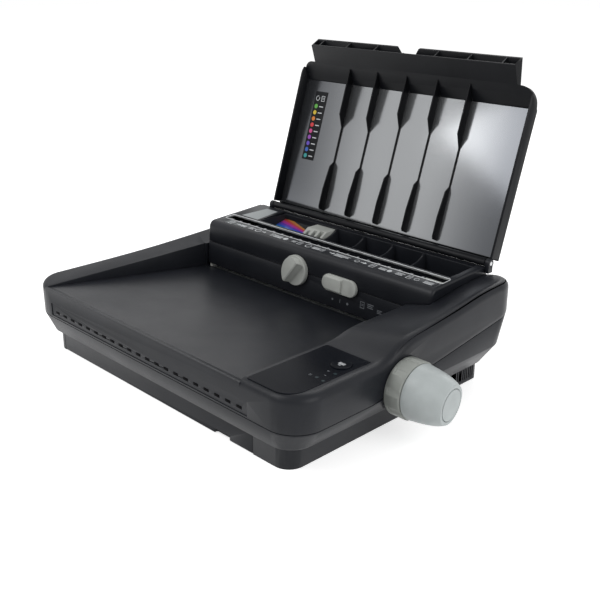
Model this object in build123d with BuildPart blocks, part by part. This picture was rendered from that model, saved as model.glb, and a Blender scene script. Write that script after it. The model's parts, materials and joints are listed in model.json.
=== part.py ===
from build123d import *
from math import cos, degrees, hypot, pi, radians, sin, tan
import os

os.makedirs("parts", exist_ok=True)

# Electric comb binding machine, in millimetres. X runs along the row of punches with the dial side
# at +X, the front is -Y, and Z = 0 is the flat underside. The lid is modelled standing open.

# Driving dimensions

# Comb, paper and the row of punches
comb_pitch = 14.2875
comb_holes = 21
sheet_length = 297.0
housing_centre_x = -3.0
punch_y = 69.0
pin_size_x = 8.0
pin_size_y = 3.0
punch_travel = 8.0

# Fits between pieces
running_fit = 0.05
sliding_gap = 0.3
seat_gap = 0.1

# Case in plan: the foot stands in from the case all round
left_wall_width = 28.0
right_block_width = 65.0
case_front = -152.0
case_rear = 152.0
case_corner = 30.0
foot_side_inset = 20.0
foot_front_inset = 12.0
foot_rear_inset = 32.0
foot_front_corner = 16.0
foot_rear_corner = 8.0
ledge_overhang_side = 8.0
ledge_overhang_front = 5.0
ledge_overhang_rear = 6.0
ledge_corner = 22.0
skirt_rear_inset = 12.0

# Case heights and walls
ledge_z = 22.0
seam_z = 41.0
shoulder_z = 71.0
seam_bend_y = -62.0
seam_angle = 8.0
seam_slit = 0.8
floor_thick = 2.5
lower_wall = 3.0
upper_wall = 2.6
tongue_thick = 1.5
tongue_height = 3.5
right_rim_radius = 8.0
left_rim_radius = 5.0

# Paper tray
tray_lip_z = 71.0
throat_z = 45.5
throat_gap = 5.0
tray_rear_y = 58.0

# Housing over the punch and the comb opener
housing_end_gap = 4.0
housing_width = 330.0
frame_thick = 2.0
right_frame_reach = 10.0
housing_lean = 4.68
housing_front_y = 58.0
housing_front_base_z = 46.0
housing_rear_y = 148.5
housing_top_z = 101.3
housing_top_y = 69.0
housing_top_slope = 3.45
housing_step_y = 143.5
housing_step_z = 103.9
housing_wall = 2.0
housing_front_radius = 8.0
housing_end_radius = 3.0
parting_z = 77.0
parting_slit = 0.8

# Lid, open on its stop
hinge_y = 148.6
hinge_z = 108.2
lid_lean = 17.8
lid_left_reach = 18.0
lid_right_reach = 5.0
panel_offset = 9.0
panel_skin = 2.0
liner_thick = 1.2
lid_start = 3.4
rim_start = 4.8
rim_thick = 2.5
rim_height = 10.0
fold_back_start = 151.4
fold_front_start = 157.4
lip_outer_end = 199.9
lip_outer_height = 14.0
lip_inner_end = 190.2
lip_inner_height = 23.0
lip_wall = 1.9
lip_end_inset = 20.0
lip_depth = 22.0
lid_corner = 15.0
corner_end = 174.0
hinge_bar_radius = 4.0
hinge_pin_radius = 2.0
hinge_pin_depth = 8.0
ear_thick = 5.0

# Dial and comb opener
dial_y = -22.0
dial_z = 46.0
dial_shaft_radius = 5.0
collar_radius = 26.6
collar_length = 16.0
grip_length = 34.0
cap_long_radius = 14.2
cap_short_radius = 11.0
horn_turn = 61.0
bearing_radius = 24.5
gear_module = 1.0
dial_teeth = 12

# Drive of the punch
cam_base_radius = 4.5
cam_gap = 0.15
cam_y = 77.0
cam_shaft_radius = 3.0
cam_width = 6.0
cam_gear_teeth = 22
idler_teeth = 39
motor_teeth = 12
gear_width = 2.0
idler_angle = -33.0
motor_angle = -40.0
motor_radius = 16.0
motor_length = 62.0

# Controls
knob_radius = 16.5
knob_x = -17.0
slider_x = 47.5
slider_length = 47.0
slider_height = 17.5
slider_travel = 5.0
button_radius = 9.0
button_travel = 1.2

# Chip drawer
drawer_margin = 2.6
drawer_gap = 0.4
drawer_wall = 1.5
drawer_rear_y = 84.0

# Places worked out from the driving dimensions

housing_x0 = housing_centre_x - housing_width / 2
housing_x1 = housing_centre_x + housing_width / 2
tray_x0 = housing_x0 - housing_end_gap
tray_x1 = housing_x1 - 27.0
# The row of punches is centred on a sheet that lies against the tray's right wall
row_length = (comb_holes - 1) * comb_pitch
row_centre_x = tray_x1 - sheet_length / 2
row_x0 = row_centre_x - row_length / 2
row_x1 = row_centre_x + row_length / 2
frame_x0 = housing_x0 + housing_wall + 0.4 + frame_thick
frame_x1 = housing_x1 - right_frame_reach
case_x0 = tray_x0 - left_wall_width
case_x1 = tray_x1 + right_block_width
foot_x0 = case_x0 + foot_side_inset
foot_x1 = case_x1 - foot_side_inset
foot_y0 = case_front + foot_front_inset
foot_y1 = case_rear - foot_rear_inset
case_side = 260.0
hull_top = 125.0
roof_depth = 50.0

foot_plan = (foot_x0, foot_x1, foot_y0, foot_y1, foot_front_corner, foot_rear_corner)
ledge_plan = (
    foot_x0 - ledge_overhang_side,
    foot_x1 + ledge_overhang_side,
    foot_y0 - ledge_overhang_front,
    foot_y1 + ledge_overhang_rear,
    ledge_corner,
    ledge_corner,
)
skirt_plan = (case_x0, case_x1, case_front, case_rear - skirt_rear_inset, case_corner, case_corner)
shoulder_plan = (case_x0, case_x1, case_front, case_rear, case_corner, case_corner)

wall_sin = sin(radians(housing_lean))
wall_cos = cos(radians(housing_lean))
lid_sin = sin(radians(lid_lean))
lid_cos = cos(radians(lid_lean))
top_slope = tan(radians(housing_top_slope))

# Plane of the housing's front wall: x along the machine, y up the wall, z outwards
wall_plane = Plane(
    origin=(0, housing_front_y, housing_front_base_z),
    x_dir=(1, 0, 0),
    z_dir=(0, -wall_cos, wall_sin),
)
# Plane of the housing's top: x along the machine, y to the rear, z outwards
top_plane = Plane(
    origin=(0, housing_top_y, housing_top_z),
    x_dir=(1, 0, 0),
    z_dir=(0, -sin(radians(housing_top_slope)), cos(radians(housing_top_slope))),
)
# Plane of the lid: x along the hinge, y from the hinge to the lid's lip, z into the lid
lid_plane = Plane(origin=(0, hinge_y, hinge_z), x_dir=(1, 0, 0), z_dir=(0, -lid_cos, lid_sin))


# Shapes used again and again

def block(x0, x1, y0, y1, z0, z1, mode=Mode.ADD):
    with Locations(((x0 + x1) / 2, (y0 + y1) / 2, (z0 + z1) / 2)):
        Box(x1 - x0, y1 - y0, z1 - z0, mode=mode)


def profile_yz(points, x0, x1, mode=Mode.ADD):
    with BuildSketch(Plane.YZ.offset(x0)) as profile:
        with BuildLine():
            Polyline(*points, close=True)
        make_face()
    extrude(profile.sketch, amount=x1 - x0, mode=mode)


def lid_profile(points, x0, x1, mode=Mode.ADD):
    across = Plane(origin=(x0, hinge_y, hinge_z), x_dir=(0, lid_sin, lid_cos), z_dir=(1, 0, 0))
    with BuildSketch(across) as profile:
        with BuildLine():
            Polyline(*points, close=True)
        make_face()
    extrude(profile.sketch, amount=x1 - x0, mode=mode)


def rod_x(y, z, radius, x0, x1, mode=Mode.ADD):
    with BuildSketch(Plane.YZ.offset(x0)) as disc:
        with Locations((y, z)):
            Circle(radius)
    extrude(disc.sketch, amount=x1 - x0, mode=mode)


def rod_z(x, y, radius, z0, z1, mode=Mode.ADD):
    with BuildSketch(Plane.XY.offset(z0)) as disc:
        with Locations((x, y)):
            Circle(radius)
    extrude(disc.sketch, amount=z1 - z0, mode=mode)


def rounded_plan(x0, x1, y0, y1, front_radius, rear_radius):
    with Locations(((x0 + x1) / 2, (y0 + y1) / 2)):
        Rectangle(x1 - x0, y1 - y0)
    fillet(vertices().group_by(Axis.Y)[0], front_radius)
    fillet(vertices().group_by(Axis.Y)[-1], rear_radius)


def drawn_in(plan, inset):
    x0, x1, y0, y1, front_radius, rear_radius = plan
    return (x0 + inset, x1 - inset, y0 + inset, y1 - inset, front_radius - inset, rear_radius - inset)


def between(plan_a, plan_b, share):
    return tuple(a + (b - a) * share for a, b in zip(plan_a, plan_b))


def case_hull(inset, bottom):
    share = inset / (seam_z - ledge_z)
    start = ledge_z + inset
    with BuildPart() as hull:
        with BuildSketch(Plane.XY.offset(bottom)):
            rounded_plan(*drawn_in(foot_plan, inset))
        extrude(amount=start - bottom)
        with BuildSketch(Plane.XY.offset(start)):
            rounded_plan(*drawn_in(between(ledge_plan, skirt_plan, share), inset))
        with BuildSketch(Plane.XY.offset(seam_z)):
            rounded_plan(*drawn_in(skirt_plan, inset))
        loft()
        with BuildSketch(Plane.XY.offset(seam_z)):
            rounded_plan(*drawn_in(skirt_plan, inset))
        with BuildSketch(Plane.XY.offset(shoulder_z)):
            rounded_plan(*drawn_in(shoulder_plan, inset))
        loft()
        with BuildSketch(Plane.XY.offset(shoulder_z)):
            rounded_plan(*drawn_in(shoulder_plan, inset))
        extrude(amount=hull_top - shoulder_z)
    return hull.part


def seam_height(y):
    return seam_z + max(0.0, y - seam_bend_y) * tan(radians(seam_angle))


def seam_line(offset):
    far_rear = case_rear + 10
    return [
        (case_front - 10, seam_z + offset),
        (seam_bend_y, seam_z + offset),
        (far_rear, seam_height(far_rear) + offset),
    ]


def under_seam(offset, mode):
    points = [(case_front - 10, -10)] + seam_line(offset) + [(case_rear + 10, -10)]
    profile_yz(points, -case_side, case_side, mode=mode)


def roof(x0, x1, stations, drop):
    """Solid under a top face that is ruled between a curve at x0 and a curve at x1."""
    with BuildLine() as edge_0:
        Spline(*[(x0, y, z0 - drop) for y, z0, z1 in stations])
    with BuildLine() as edge_1:
        Spline(*[(x1, y, z1 - drop) for y, z0, z1 in stations])
    top = Face.make_surface_from_curves(edge_0.edges()[0], edge_1.edges()[0])
    with BuildPart() as solid:
        extrude(top, amount=roof_depth, dir=(0, 0, -1))
    return solid.part


def gear_outline(teeth, turn=0.0):
    """Straight-flanked stub teeth round a pitch circle, closed as one line."""
    pitch_radius = gear_module * teeth / 2
    root = pitch_radius - root_depth
    tip = pitch_radius + tooth_height
    points = []
    for tooth in range(teeth):
        middle = 360.0 * tooth / teeth + turn
        for radius, width in ((root, root_share), (tip, tip_share)):
            half = degrees(width * pi * gear_module / 2 / radius)
            points.append((radius, middle - half, middle + half))
    outline = []
    for (root_r, root_a, root_b), (tip_r, tip_a, tip_b) in zip(points[::2], points[1::2]):
        for radius, angle in ((root_r, root_a), (tip_r, tip_a), (tip_r, tip_b), (root_r, root_b)):
            outline.append((radius * cos(radians(angle)), radius * sin(radians(angle))))
    with BuildLine() as flanks:
        Polyline(*outline, close=True)
    make_face(flanks.edges())


def top_face(all_faces):
    """Largest face among those that look upwards."""
    return [face for face in all_faces.sort_by(SortBy.AREA) if face.normal_at(face.center()).Z > 0.7][-1]


# Stub gear teeth, in modules: a low tooth that stays clear of its partner's root
tooth_height = 0.6 * gear_module
root_depth = 0.85 * gear_module
root_share = 0.62
tip_share = 0.28


def rack_points(start, count, pitch_line, up):
    """Corner points of a row of rack teeth that begins at start; up is +1 or -1."""
    points = []
    step = pi * gear_module
    for tooth in range(count):
        middle = start + tooth * step
        root_half = root_share * step / 2
        tip_half = tip_share * step / 2
        points.append((middle - root_half, pitch_line - up * root_depth))
        points.append((middle - tip_half, pitch_line + up * tooth_height))
        points.append((middle + tip_half, pitch_line + up * tooth_height))
        points.append((middle + root_half, pitch_line - up * root_depth))
    return points


# Tops of the case: each station is (y, height at the inner edge, height at the outer edge)
console_z = 74.5
right_stations = [
    (case_front - 1, console_z, console_z),
    (-120, console_z, console_z),
    (-88, console_z, console_z),
    (-66, console_z, console_z),
    (-50, console_z + 0.1, console_z + 0.3),
    (-38, 76.2, 77.8),
    (-25, 79.0, 84.2),
    (-12, 80.5, 88.6),
    (10, 80.7, 91.8),
    (35, 80.8, 95.0),
    (58, 81.3, 98.2),
    (90, 85.5, 103.0),
    (122, 89.3, 105.0),
    (case_rear + 1, 92.0, 105.6),
]
left_stations = [
    (case_front - 1, 76.0, 71.5),
    (-134, 76.0, 71.5),
    (15, 78.0, 72.3),
    (81, 82.0, 73.2),
    (case_rear + 1, 86.0, 74.0),
]

# Heights of the punch, and the gear train that leads from the motor to its camshaft
apron_bottom = throat_z + throat_gap
guide_top = apron_bottom + 6.0
bar_top = guide_top + 22.5
bar_bottom = bar_top - 7.0
cam_z = bar_top + cam_base_radius + cam_gap
cam_pitch_radius = gear_module * cam_gear_teeth / 2
idler_pitch_radius = gear_module * idler_teeth / 2
motor_pitch_radius = gear_module * motor_teeth / 2
idler_reach = cam_pitch_radius + idler_pitch_radius
motor_reach = idler_pitch_radius + motor_pitch_radius
idler_y = cam_y + idler_reach * cos(radians(idler_angle))
idler_z = cam_z + idler_reach * sin(radians(idler_angle))
motor_y = idler_y + motor_reach * cos(radians(motor_angle))
motor_z = idler_z + motor_reach * sin(radians(motor_angle))
gear_x0 = frame_x0 + 0.2
gear_x1 = gear_x0 + gear_width
motor_x0 = gear_x1 + 0.8
frame_front = 66.0

# Places of things that several pieces share
opening_gap = 0.3
opening_x0 = housing_x0 - opening_gap - 0.3
opening_x1 = housing_x1 + opening_gap + 0.3
opening_y0 = housing_front_y - 0.5
opening_y1 = housing_rear_y + 0.7
die_front_y = 62.0
screw_places = [
    (tray_x0 + 1, case_front + 27),
    (tray_x0 - 2, 98.0),
    (foot_x1 - 11, case_front + 27),
    (opening_x1 + 6.5, 105.0),
]
screw_boss_radius = 4.5
screw_hole_radius = 1.6
screw_head_radius = 3.2
console_x0 = tray_x1 + 3
console_x1 = case_x1 - 11
console_y0 = case_front + 5
console_y1 = -53.0
console_corner = 18.0
console_thick = 1.8
console_floor_z = console_z - 1.5
button_x = case_x1 - 24
button_y = -75.0
lens_places = [(case_x1 - 22, -106.0), (case_x1 - 14, -107.0), (case_x1 - 16, -91.0)]
lens_radius = 1.5
board_z = 60.4
board_thick = 1.6
board_x0 = console_x0 + 6
board_x1 = console_x1 - 2
board_y0 = console_y0 + 12
board_y1 = console_y1 - 6
board_posts = [(x, y) for x in (board_x0 + 5, board_x1 - 5) for y in (board_y0 + 5, board_y1 - 3)]
arm_window_y0 = 84.0
arm_window_y1 = 100.0
arm_window_z0 = 68.0
drawer_x0 = row_x0 - pin_size_x / 2 - drawer_margin
drawer_x1 = row_x1 + pin_size_x / 2 + drawer_margin
pad_places = [(x, y) for x in (foot_x0 + 25, foot_x1 - 25) for y in (foot_y0 + 22, foot_y1 - 22)]
pad_radius = 9.0
pad_thick = 1.2
notch_x0 = 86.0
notch_x1 = 106.0
notch_z = 4.4
inlet_x = 100.0
switch_x = 70.0
inlet_z0 = 2.7
inlet_z1 = 19.7
front_panel_x0 = case_x0 + 37
front_panel_x1 = tray_x1 + 9
front_row_x = (front_panel_x0 + front_panel_x1) / 2


def console_outline(clearance):
    with Locations(((console_x0 + console_x1) / 2, (console_y0 + console_y1) / 2)):
        Rectangle(console_x1 - console_x0 + 2 * clearance, console_y1 - console_y0 + 2 * clearance)
    corners = vertices().sort_by(Axis.X)
    fillet(corners[2:].sort_by(Axis.Y)[:1], console_corner)
    fillet(vertices().sort_by(Axis.X)[:2], 3.0)


def tray_height(y):
    return tray_lip_z + (throat_z + 0.2 - tray_lip_z) * (y - case_front) / (tray_rear_y - case_front)


def post_top(y):
    return seam_height(y) - 3.0


def boss_top(x, y):
    """Underside of what stands over a screw boss."""
    if y > 0:
        return seam_height(y) + 8.0
    return console_floor_z - 0.5 if x > tray_x1 else tray_height(y) - upper_wall / 2


# Casing

# Lower base: a tub with a flared skirt, a drawer mouth in front and louvres at the right rear
louvre_pitch = 3.0
louvre_count = 13
louvre_width = 1.5
hull_outside = case_hull(0, 0)
lower_inside = case_hull(lower_wall, floor_thick)
upper_inside = case_hull(upper_wall, 0)
tongue_outside = case_hull(lower_wall - seat_gap, floor_thick)
tongue_inside = case_hull(lower_wall - seat_gap + tongue_thick, floor_thick)
with BuildPart() as seam_tongue:
    add(tongue_outside)
    add(tongue_inside, mode=Mode.SUBTRACT)
    profile_yz(
        seam_line(-tongue_height - 2) + seam_line(tongue_height)[::-1],
        -case_side,
        case_side,
        mode=Mode.INTERSECT,
    )

with BuildPart() as lower_base:
    add(hull_outside)
    add(lower_inside, mode=Mode.SUBTRACT)
    under_seam(-seam_slit / 2, Mode.INTERSECT)
    add(seam_tongue.part)
    # Mouth of the chip drawer, and the floor's cut-back behind the drawer's front
    block(drawer_x0 - 2 * drawer_gap, drawer_x1 + 2 * drawer_gap, foot_y0 - 1, foot_y0 + lower_wall + drawer_gap,
          -1, ledge_z, mode=Mode.SUBTRACT)
    block(notch_x0, notch_x1, foot_y0, foot_y0 + 12, -1, floor_thick + 1, mode=Mode.SUBTRACT)
    # Screw posts
    for x, y in screw_places:
        rod_z(x, y, screw_boss_radius, floor_thick - 0.5, post_top(y))
        rod_z(x, y, screw_head_radius + 0.3, -1, floor_thick, mode=Mode.SUBTRACT)
        rod_z(x, y, screw_hole_radius, -1, post_top(y) + 1, mode=Mode.SUBTRACT)
    # Cradle of the motor
    for x in (motor_x0 + 10, motor_x0 + motor_length - 16):
        block(x, x + 6, motor_y - 13, motor_y + 11, floor_thick - 0.5, motor_z - 9)
    rod_x(motor_y, motor_z, motor_radius + 0.02, motor_x0, motor_x0 + motor_length, mode=Mode.SUBTRACT)
    # Recesses of the flush pads
    for x, y in pad_places:
        rod_z(x, y, pad_radius, -1, pad_thick, mode=Mode.SUBTRACT)
    # Louvres beside the motor side's air path
    for slot in range(louvre_count):
        y = foot_y1 - 10 - slot * louvre_pitch
        block(foot_x1 - lower_wall - 1, foot_x1 + 1, y - louvre_width / 2, y + louvre_width / 2, 4, 19,
              mode=Mode.SUBTRACT)
    # Seat of the dial's bearing
    rod_x(dial_y, dial_z, bearing_radius + 0.2, foot_x1, case_x1 + 2, mode=Mode.SUBTRACT)
    # Openings of the power inlet and the switch
    block(inlet_x - 13.2, inlet_x + 13.2, foot_y1 - 8, foot_y1 + 1, inlet_z0 - 0.1, inlet_z1 + 0.1,
          mode=Mode.SUBTRACT)
    block(switch_x - 11.2, switch_x + 11.2, foot_y1 - 8, foot_y1 + 1, inlet_z0 + 0.6, inlet_z1 + 0.1,
          mode=Mode.SUBTRACT)
lower_base.part.label = "lower_base"
export_step(lower_base.part, "parts/lower_base.step")

# Upper case: tray floor, left wall and right shoulder in one moulding
tray_floor = [
    (case_front - 1, ledge_z),
    (case_front - 1, tray_lip_z),
    (case_front, tray_lip_z),
    (tray_rear_y, throat_z + 0.2),
    (die_front_y - seat_gap, throat_z),
    (die_front_y - seat_gap, ledge_z),
]
right_roof = roof(tray_x1, case_x1 + 1, right_stations, 0)
right_ceiling = roof(tray_x1, case_x1 + 1, right_stations, upper_wall)
# The left roof runs on past the tray's edge, so that its rim can be rounded before it is cut there
overrun = 12.0
overrun_share = overrun / (left_wall_width + 1)
left_wide = [(y, z0, z1 + (z1 - z0) * overrun_share) for y, z0, z1 in left_stations]
left_roof = roof(case_x0 - 1, tray_x0 + overrun, left_wide, 0)
left_ceiling = roof(case_x0 - 1, tray_x0, left_stations, upper_wall)
with BuildPart() as case_cavity:
    add(right_ceiling)
    block(tray_x1 - 1, tray_x1 + upper_wall, case_front - 2, case_rear + 2, 0, hull_top, mode=Mode.SUBTRACT)
    block(tray_x1 - 1, opening_x1 + upper_wall, opening_y0 - upper_wall, case_rear + 2, 0, hull_top,
          mode=Mode.SUBTRACT)
    add(left_ceiling)
    block(tray_x0 - upper_wall, tray_x0 + 1, case_front - 2, case_rear + 2, 0, hull_top, mode=Mode.SUBTRACT)
    profile_yz([(y, z - (upper_wall if z > ledge_z else 0)) for y, z in tray_floor],
               tray_x0 - upper_wall - 0.5, tray_x1 + upper_wall + 0.5)
    add(upper_inside, mode=Mode.INTERSECT)

with BuildPart() as right_shoulder:
    add(right_roof)
    add(hull_outside, mode=Mode.INTERSECT)
    rim = top_face(faces()).edges()
    fillet([edge for edge in rim if edge.center().X > tray_x1 + 5], right_rim_radius)

with BuildPart() as left_shoulder:
    add(left_roof)
    add(hull_outside, mode=Mode.INTERSECT)
    rim = top_face(faces()).edges()
    fillet([edge for edge in rim if edge.center().X < tray_x0 + overrun - 1], left_rim_radius)
    block(tray_x0, tray_x0 + overrun + 1, case_front - 1, case_rear + 1, 0, hull_top, mode=Mode.SUBTRACT)

# What lies below the seam, less the tray floor, which runs down past the seam's height
with BuildPart() as below_seam:
    under_seam(seam_slit / 2, Mode.ADD)
    block(tray_x0 - upper_wall - 0.1, tray_x1 + upper_wall + 0.1, case_front + 10, die_front_y,
          seam_z + seam_slit / 2, hull_top, mode=Mode.SUBTRACT)

with BuildPart() as upper_case:
    add(right_shoulder.part)
    add(left_shoulder.part)
    profile_yz(tray_floor, tray_x0 - 0.5, tray_x1 + 0.5)
    block(tray_x0 - 1, opening_x0 + 1, opening_y0, case_rear + 1, ledge_z, 73.5)
    block(tray_x0 - 1, opening_x1 + 1, opening_y1, case_rear + 1, ledge_z, 84.0)
    add(hull_outside, mode=Mode.INTERSECT)
    add(case_cavity.part, mode=Mode.SUBTRACT)
    block(tray_x0 - 20, opening_x1 + 20, case_rear - 7.5, opening_y1 + 0.1, 0, shoulder_z + 5,
          mode=Mode.SUBTRACT)
    # Opening that the housing stands in
    block(opening_x0, opening_x1, opening_y0, opening_y1, throat_z + 0.5, hull_top, mode=Mode.SUBTRACT)
    block(opening_x0, opening_x1, die_front_y - seat_gap, opening_y1, 0, throat_z + 1, mode=Mode.SUBTRACT)
    add(below_seam.part, mode=Mode.SUBTRACT)
    # Seat of the dial's bearing
    rod_x(dial_y, dial_z, bearing_radius + 0.2, case_x1 - right_block_width / 2, case_x1 + 2,
          mode=Mode.SUBTRACT)
    # Window that the comb opener's arm passes through
    block(opening_x1 - 1, opening_x1 + upper_wall + 1, arm_window_y0, arm_window_y1, arm_window_z0,
          parting_z, mode=Mode.SUBTRACT)
    # Recessed front panel with its row of slots
    block(front_panel_x0, front_panel_x1, case_front - 1, case_front + 0.8, 43.0, 56.6, mode=Mode.SUBTRACT)
    for hole in range(comb_holes):
        x = front_row_x + (hole - (comb_holes - 1) / 2) * comb_pitch
        block(x - 2.5, x + 2.5, case_front, case_front + 1.4, 46.8, 48.3, mode=Mode.SUBTRACT)
    # Recess of the console panel and the holes under it
    with BuildSketch(Plane.XY.offset(console_floor_z)):
        console_outline(seat_gap)
    extrude(amount=10, mode=Mode.SUBTRACT)
    rod_z(button_x, button_y, button_radius + sliding_gap, console_floor_z - 5, console_z, mode=Mode.SUBTRACT)
    # Bosses that take the case screws and the control board
    for x, y in screw_places:
        rod_z(x, y, screw_boss_radius, post_top(y) + 0.3, boss_top(x, y))
        rod_z(x, y, screw_hole_radius, post_top(y), post_top(y) + 8, mode=Mode.SUBTRACT)
    for x, y in board_posts:
        rod_z(x, y, 3.0, board_z + board_thick, console_floor_z - 0.5)

# The tray's floor is a plate of its own, let into the upper case behind the front lip
tray_front_y = case_front + 6.0
with BuildPart() as tray_slab:
    slab_top = [(tray_front_y, tray_height(tray_front_y)), (tray_rear_y, throat_z + 0.2), (die_front_y, throat_z)]
    profile_yz([(y, z + 1) for y, z in slab_top] + [(y, z - upper_wall) for y, z in slab_top[::-1]],
               tray_x0, tray_x1)

with BuildPart() as paper_tray:
    add(upper_case.part)
    add(tray_slab.part, mode=Mode.INTERSECT)
paper_tray.part.label = "paper_tray"
export_step(paper_tray.part, "parts/paper_tray.step")

with BuildPart() as case_frame:
    add(upper_case.part)
    add(tray_slab.part, mode=Mode.SUBTRACT)
case_frame.part.label = "upper_case"
export_step(case_frame.part, "parts/upper_case.step")

# Housing over the punch and the opener, split at its parting line into a cover and an apron
front_slope = tan(radians(housing_lean))


def wall_y(z):
    """Outside of the housing's front wall at height z."""
    return housing_front_y + (z - housing_front_base_z) * front_slope


def top_z(y):
    """Outside of the housing's top at depth y."""
    return housing_top_z + (y - housing_top_y) * top_slope


front_top_y = (housing_front_y + (housing_top_z - housing_top_y * top_slope - housing_front_base_z) * front_slope)
front_top_y = front_top_y / (1 - front_slope * top_slope)


def housing_solid(inset, x0, x1):
    shift = inset / wall_cos
    drop = inset / cos(radians(housing_top_slope))
    low_z = apron_bottom - (5 if inset else 0)
    corner_y = front_top_y + shift - drop * front_slope
    outline = [
        (wall_y(low_z) + shift, low_z),
        (corner_y, top_z(corner_y) - drop),
        (housing_step_y - 2 - inset, top_z(housing_step_y - 2 - inset) - drop),
        (housing_step_y - inset, housing_step_z - inset),
        (housing_rear_y - inset, housing_step_z - inset),
        (housing_rear_y - inset, low_z),
    ]
    with BuildPart() as solid:
        with BuildSketch(Plane.YZ.offset(x0)):
            with BuildLine():
                Polyline(*outline, close=True)
            make_face()
            front_corner = vertices().sort_by_distance((corner_y, top_z(corner_y) - drop))[:1]
            fillet(front_corner, housing_front_radius - inset)
        extrude(amount=x1 - x0)
    return solid.part


housing_outside = housing_solid(0, housing_x0, housing_x1)
housing_inside = housing_solid(housing_wall, housing_x0 + housing_wall, housing_x1 - housing_wall)
slot_x0 = housing_x0 + 6.5
slot_x1 = housing_x1 - 3.0
slot_v0 = 12.0
slot_v1 = 27.2
trough_x0 = housing_x0 + 46.125
trough_x1 = housing_x1 - 7.0
trough_y0 = 98.5
trough_y1 = 143.0
strip_x0 = housing_x0 + 18.125
strip_x1 = housing_x1 - 6.0
strip_v0 = 0.5
strip_v1 = 11.2
strip_thick = 0.6
knob_v = (parting_z + 0.5 - housing_front_base_z) / wall_cos
slider_v = (parting_z - housing_front_base_z) / wall_cos
knob_shaft_radius = 3.0
slider_neck_x = 4.0
slider_neck_v = 2.0
with BuildPart() as housing:
    add(housing_outside)
    fillet([edge for edge in edges()
            if abs(edge.center().X - (housing_x0 + housing_x1) / 2) > (housing_x1 - housing_x0) / 2 - 0.1
            and edge.center().Z > apron_bottom + 3 and edge.center().Y < housing_rear_y - 0.5
            and edge.center().Y < housing_step_y - 3], housing_end_radius)
    add(housing_inside, mode=Mode.SUBTRACT)
    # Slot of the comb opener
    with BuildSketch(top_plane.offset(-6)):
        rounded_plan(slot_x0, slot_x1, slot_v0, slot_v1, 3.0, 3.0)
    extrude(amount=12, mode=Mode.SUBTRACT)
    # Opening of the comb trough
    block(trough_x0, trough_x1, trough_y0, trough_y1, top_z(trough_y0) - 12, hull_top, mode=Mode.SUBTRACT)
    # Seat of the instruction strip
    with BuildSketch(top_plane.offset(-strip_thick + 0.1)):
        rounded_plan(strip_x0 - seat_gap, strip_x1 + seat_gap, strip_v0 - seat_gap, strip_v1 + seat_gap, 1, 1)
    extrude(amount=3, mode=Mode.SUBTRACT)
    # Hole of the knob's shaft and slot of the slider's neck
    with BuildSketch(wall_plane.offset(-housing_wall - 1)):
        with Locations((knob_x, knob_v)):
            Circle(knob_shaft_radius + sliding_gap)
        with Locations((slider_x, slider_v)):
            Rectangle(2 * (slider_neck_x + slider_travel + 0.6), 2 * (slider_neck_v + sliding_gap))
    extrude(amount=housing_wall + 3, mode=Mode.SUBTRACT)

with BuildPart() as housing_cover:
    add(housing.part)
    block(-case_side, case_side, 0, case_side, 0, parting_z + parting_slit / 2, mode=Mode.SUBTRACT)
housing_cover.part.label = "housing_cover"
export_step(housing_cover.part, "parts/housing_cover.step")

with BuildPart() as front_apron:
    add(housing.part)
    block(-case_side, case_side, 0, case_side, parting_z - parting_slit / 2, hull_top, mode=Mode.SUBTRACT)
    block(-case_side, case_side, housing_rear_y - 10, case_side, 0, hull_top, mode=Mode.SUBTRACT)
    # Window that the comb opener's arm passes through
    block(housing_x1 - 10, housing_x1 + 1, arm_window_y0, arm_window_y1, arm_window_z0, parting_z,
          mode=Mode.SUBTRACT)
front_apron.part.label = "front_apron"
export_step(front_apron.part, "parts/front_apron.step")

# Console panel with its lamps
with BuildPart() as console_panel:
    with BuildSketch(Plane.XY.offset(console_floor_z)):
        console_outline(0)
    extrude(amount=console_thick)
    fillet(faces().sort_by(Axis.Z)[-1].edges(), 0.4)
    rod_z(button_x, button_y, button_radius + sliding_gap, console_floor_z - 1, console_z + 5, mode=Mode.SUBTRACT)
    for x, y in lens_places:
        rod_z(x, y, lens_radius, console_floor_z - 1, console_z + 5, mode=Mode.SUBTRACT)
console_panel.part.label = "console_panel"
export_step(console_panel.part, "parts/console_panel.step")

with BuildPart() as indicator_lenses:
    for x, y in lens_places:
        rod_z(x, y, lens_radius, console_floor_z, console_floor_z + console_thick + 0.15)
indicator_lenses.part.label = "indicator_lenses"
export_step(indicator_lenses.part, "parts/indicator_lenses.step")

# Plates and trim on top of the housing
with BuildPart() as instruction_strip:
    with BuildSketch(top_plane.offset(-strip_thick + 0.1)):
        rounded_plan(strip_x0, strip_x1, strip_v0, strip_v1, 1, 1)
    extrude(amount=strip_thick)
instruction_strip.part.label = "instruction_strip"
export_step(instruction_strip.part, "parts/instruction_strip.step")

trim_thick = 0.8
with BuildPart() as opener_trim:
    with BuildSketch(top_plane.offset(-housing_wall)):
        rounded_plan(slot_x0, slot_x1, slot_v0, slot_v1, 3.0, 3.0)
        rounded_slot = drawn_in((slot_x0, slot_x1, slot_v0, slot_v1, 3.0, 3.0), trim_thick)
        with Locations(((rounded_slot[0] + rounded_slot[1]) / 2, (rounded_slot[2] + rounded_slot[3]) / 2)):
            RectangleRounded(rounded_slot[1] - rounded_slot[0], rounded_slot[3] - rounded_slot[2],
                             rounded_slot[4], mode=Mode.SUBTRACT)
    extrude(amount=housing_wall + 0.4)
opener_trim.part.label = "opener_trim"
export_step(opener_trim.part, "parts/opener_trim.step")

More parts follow.
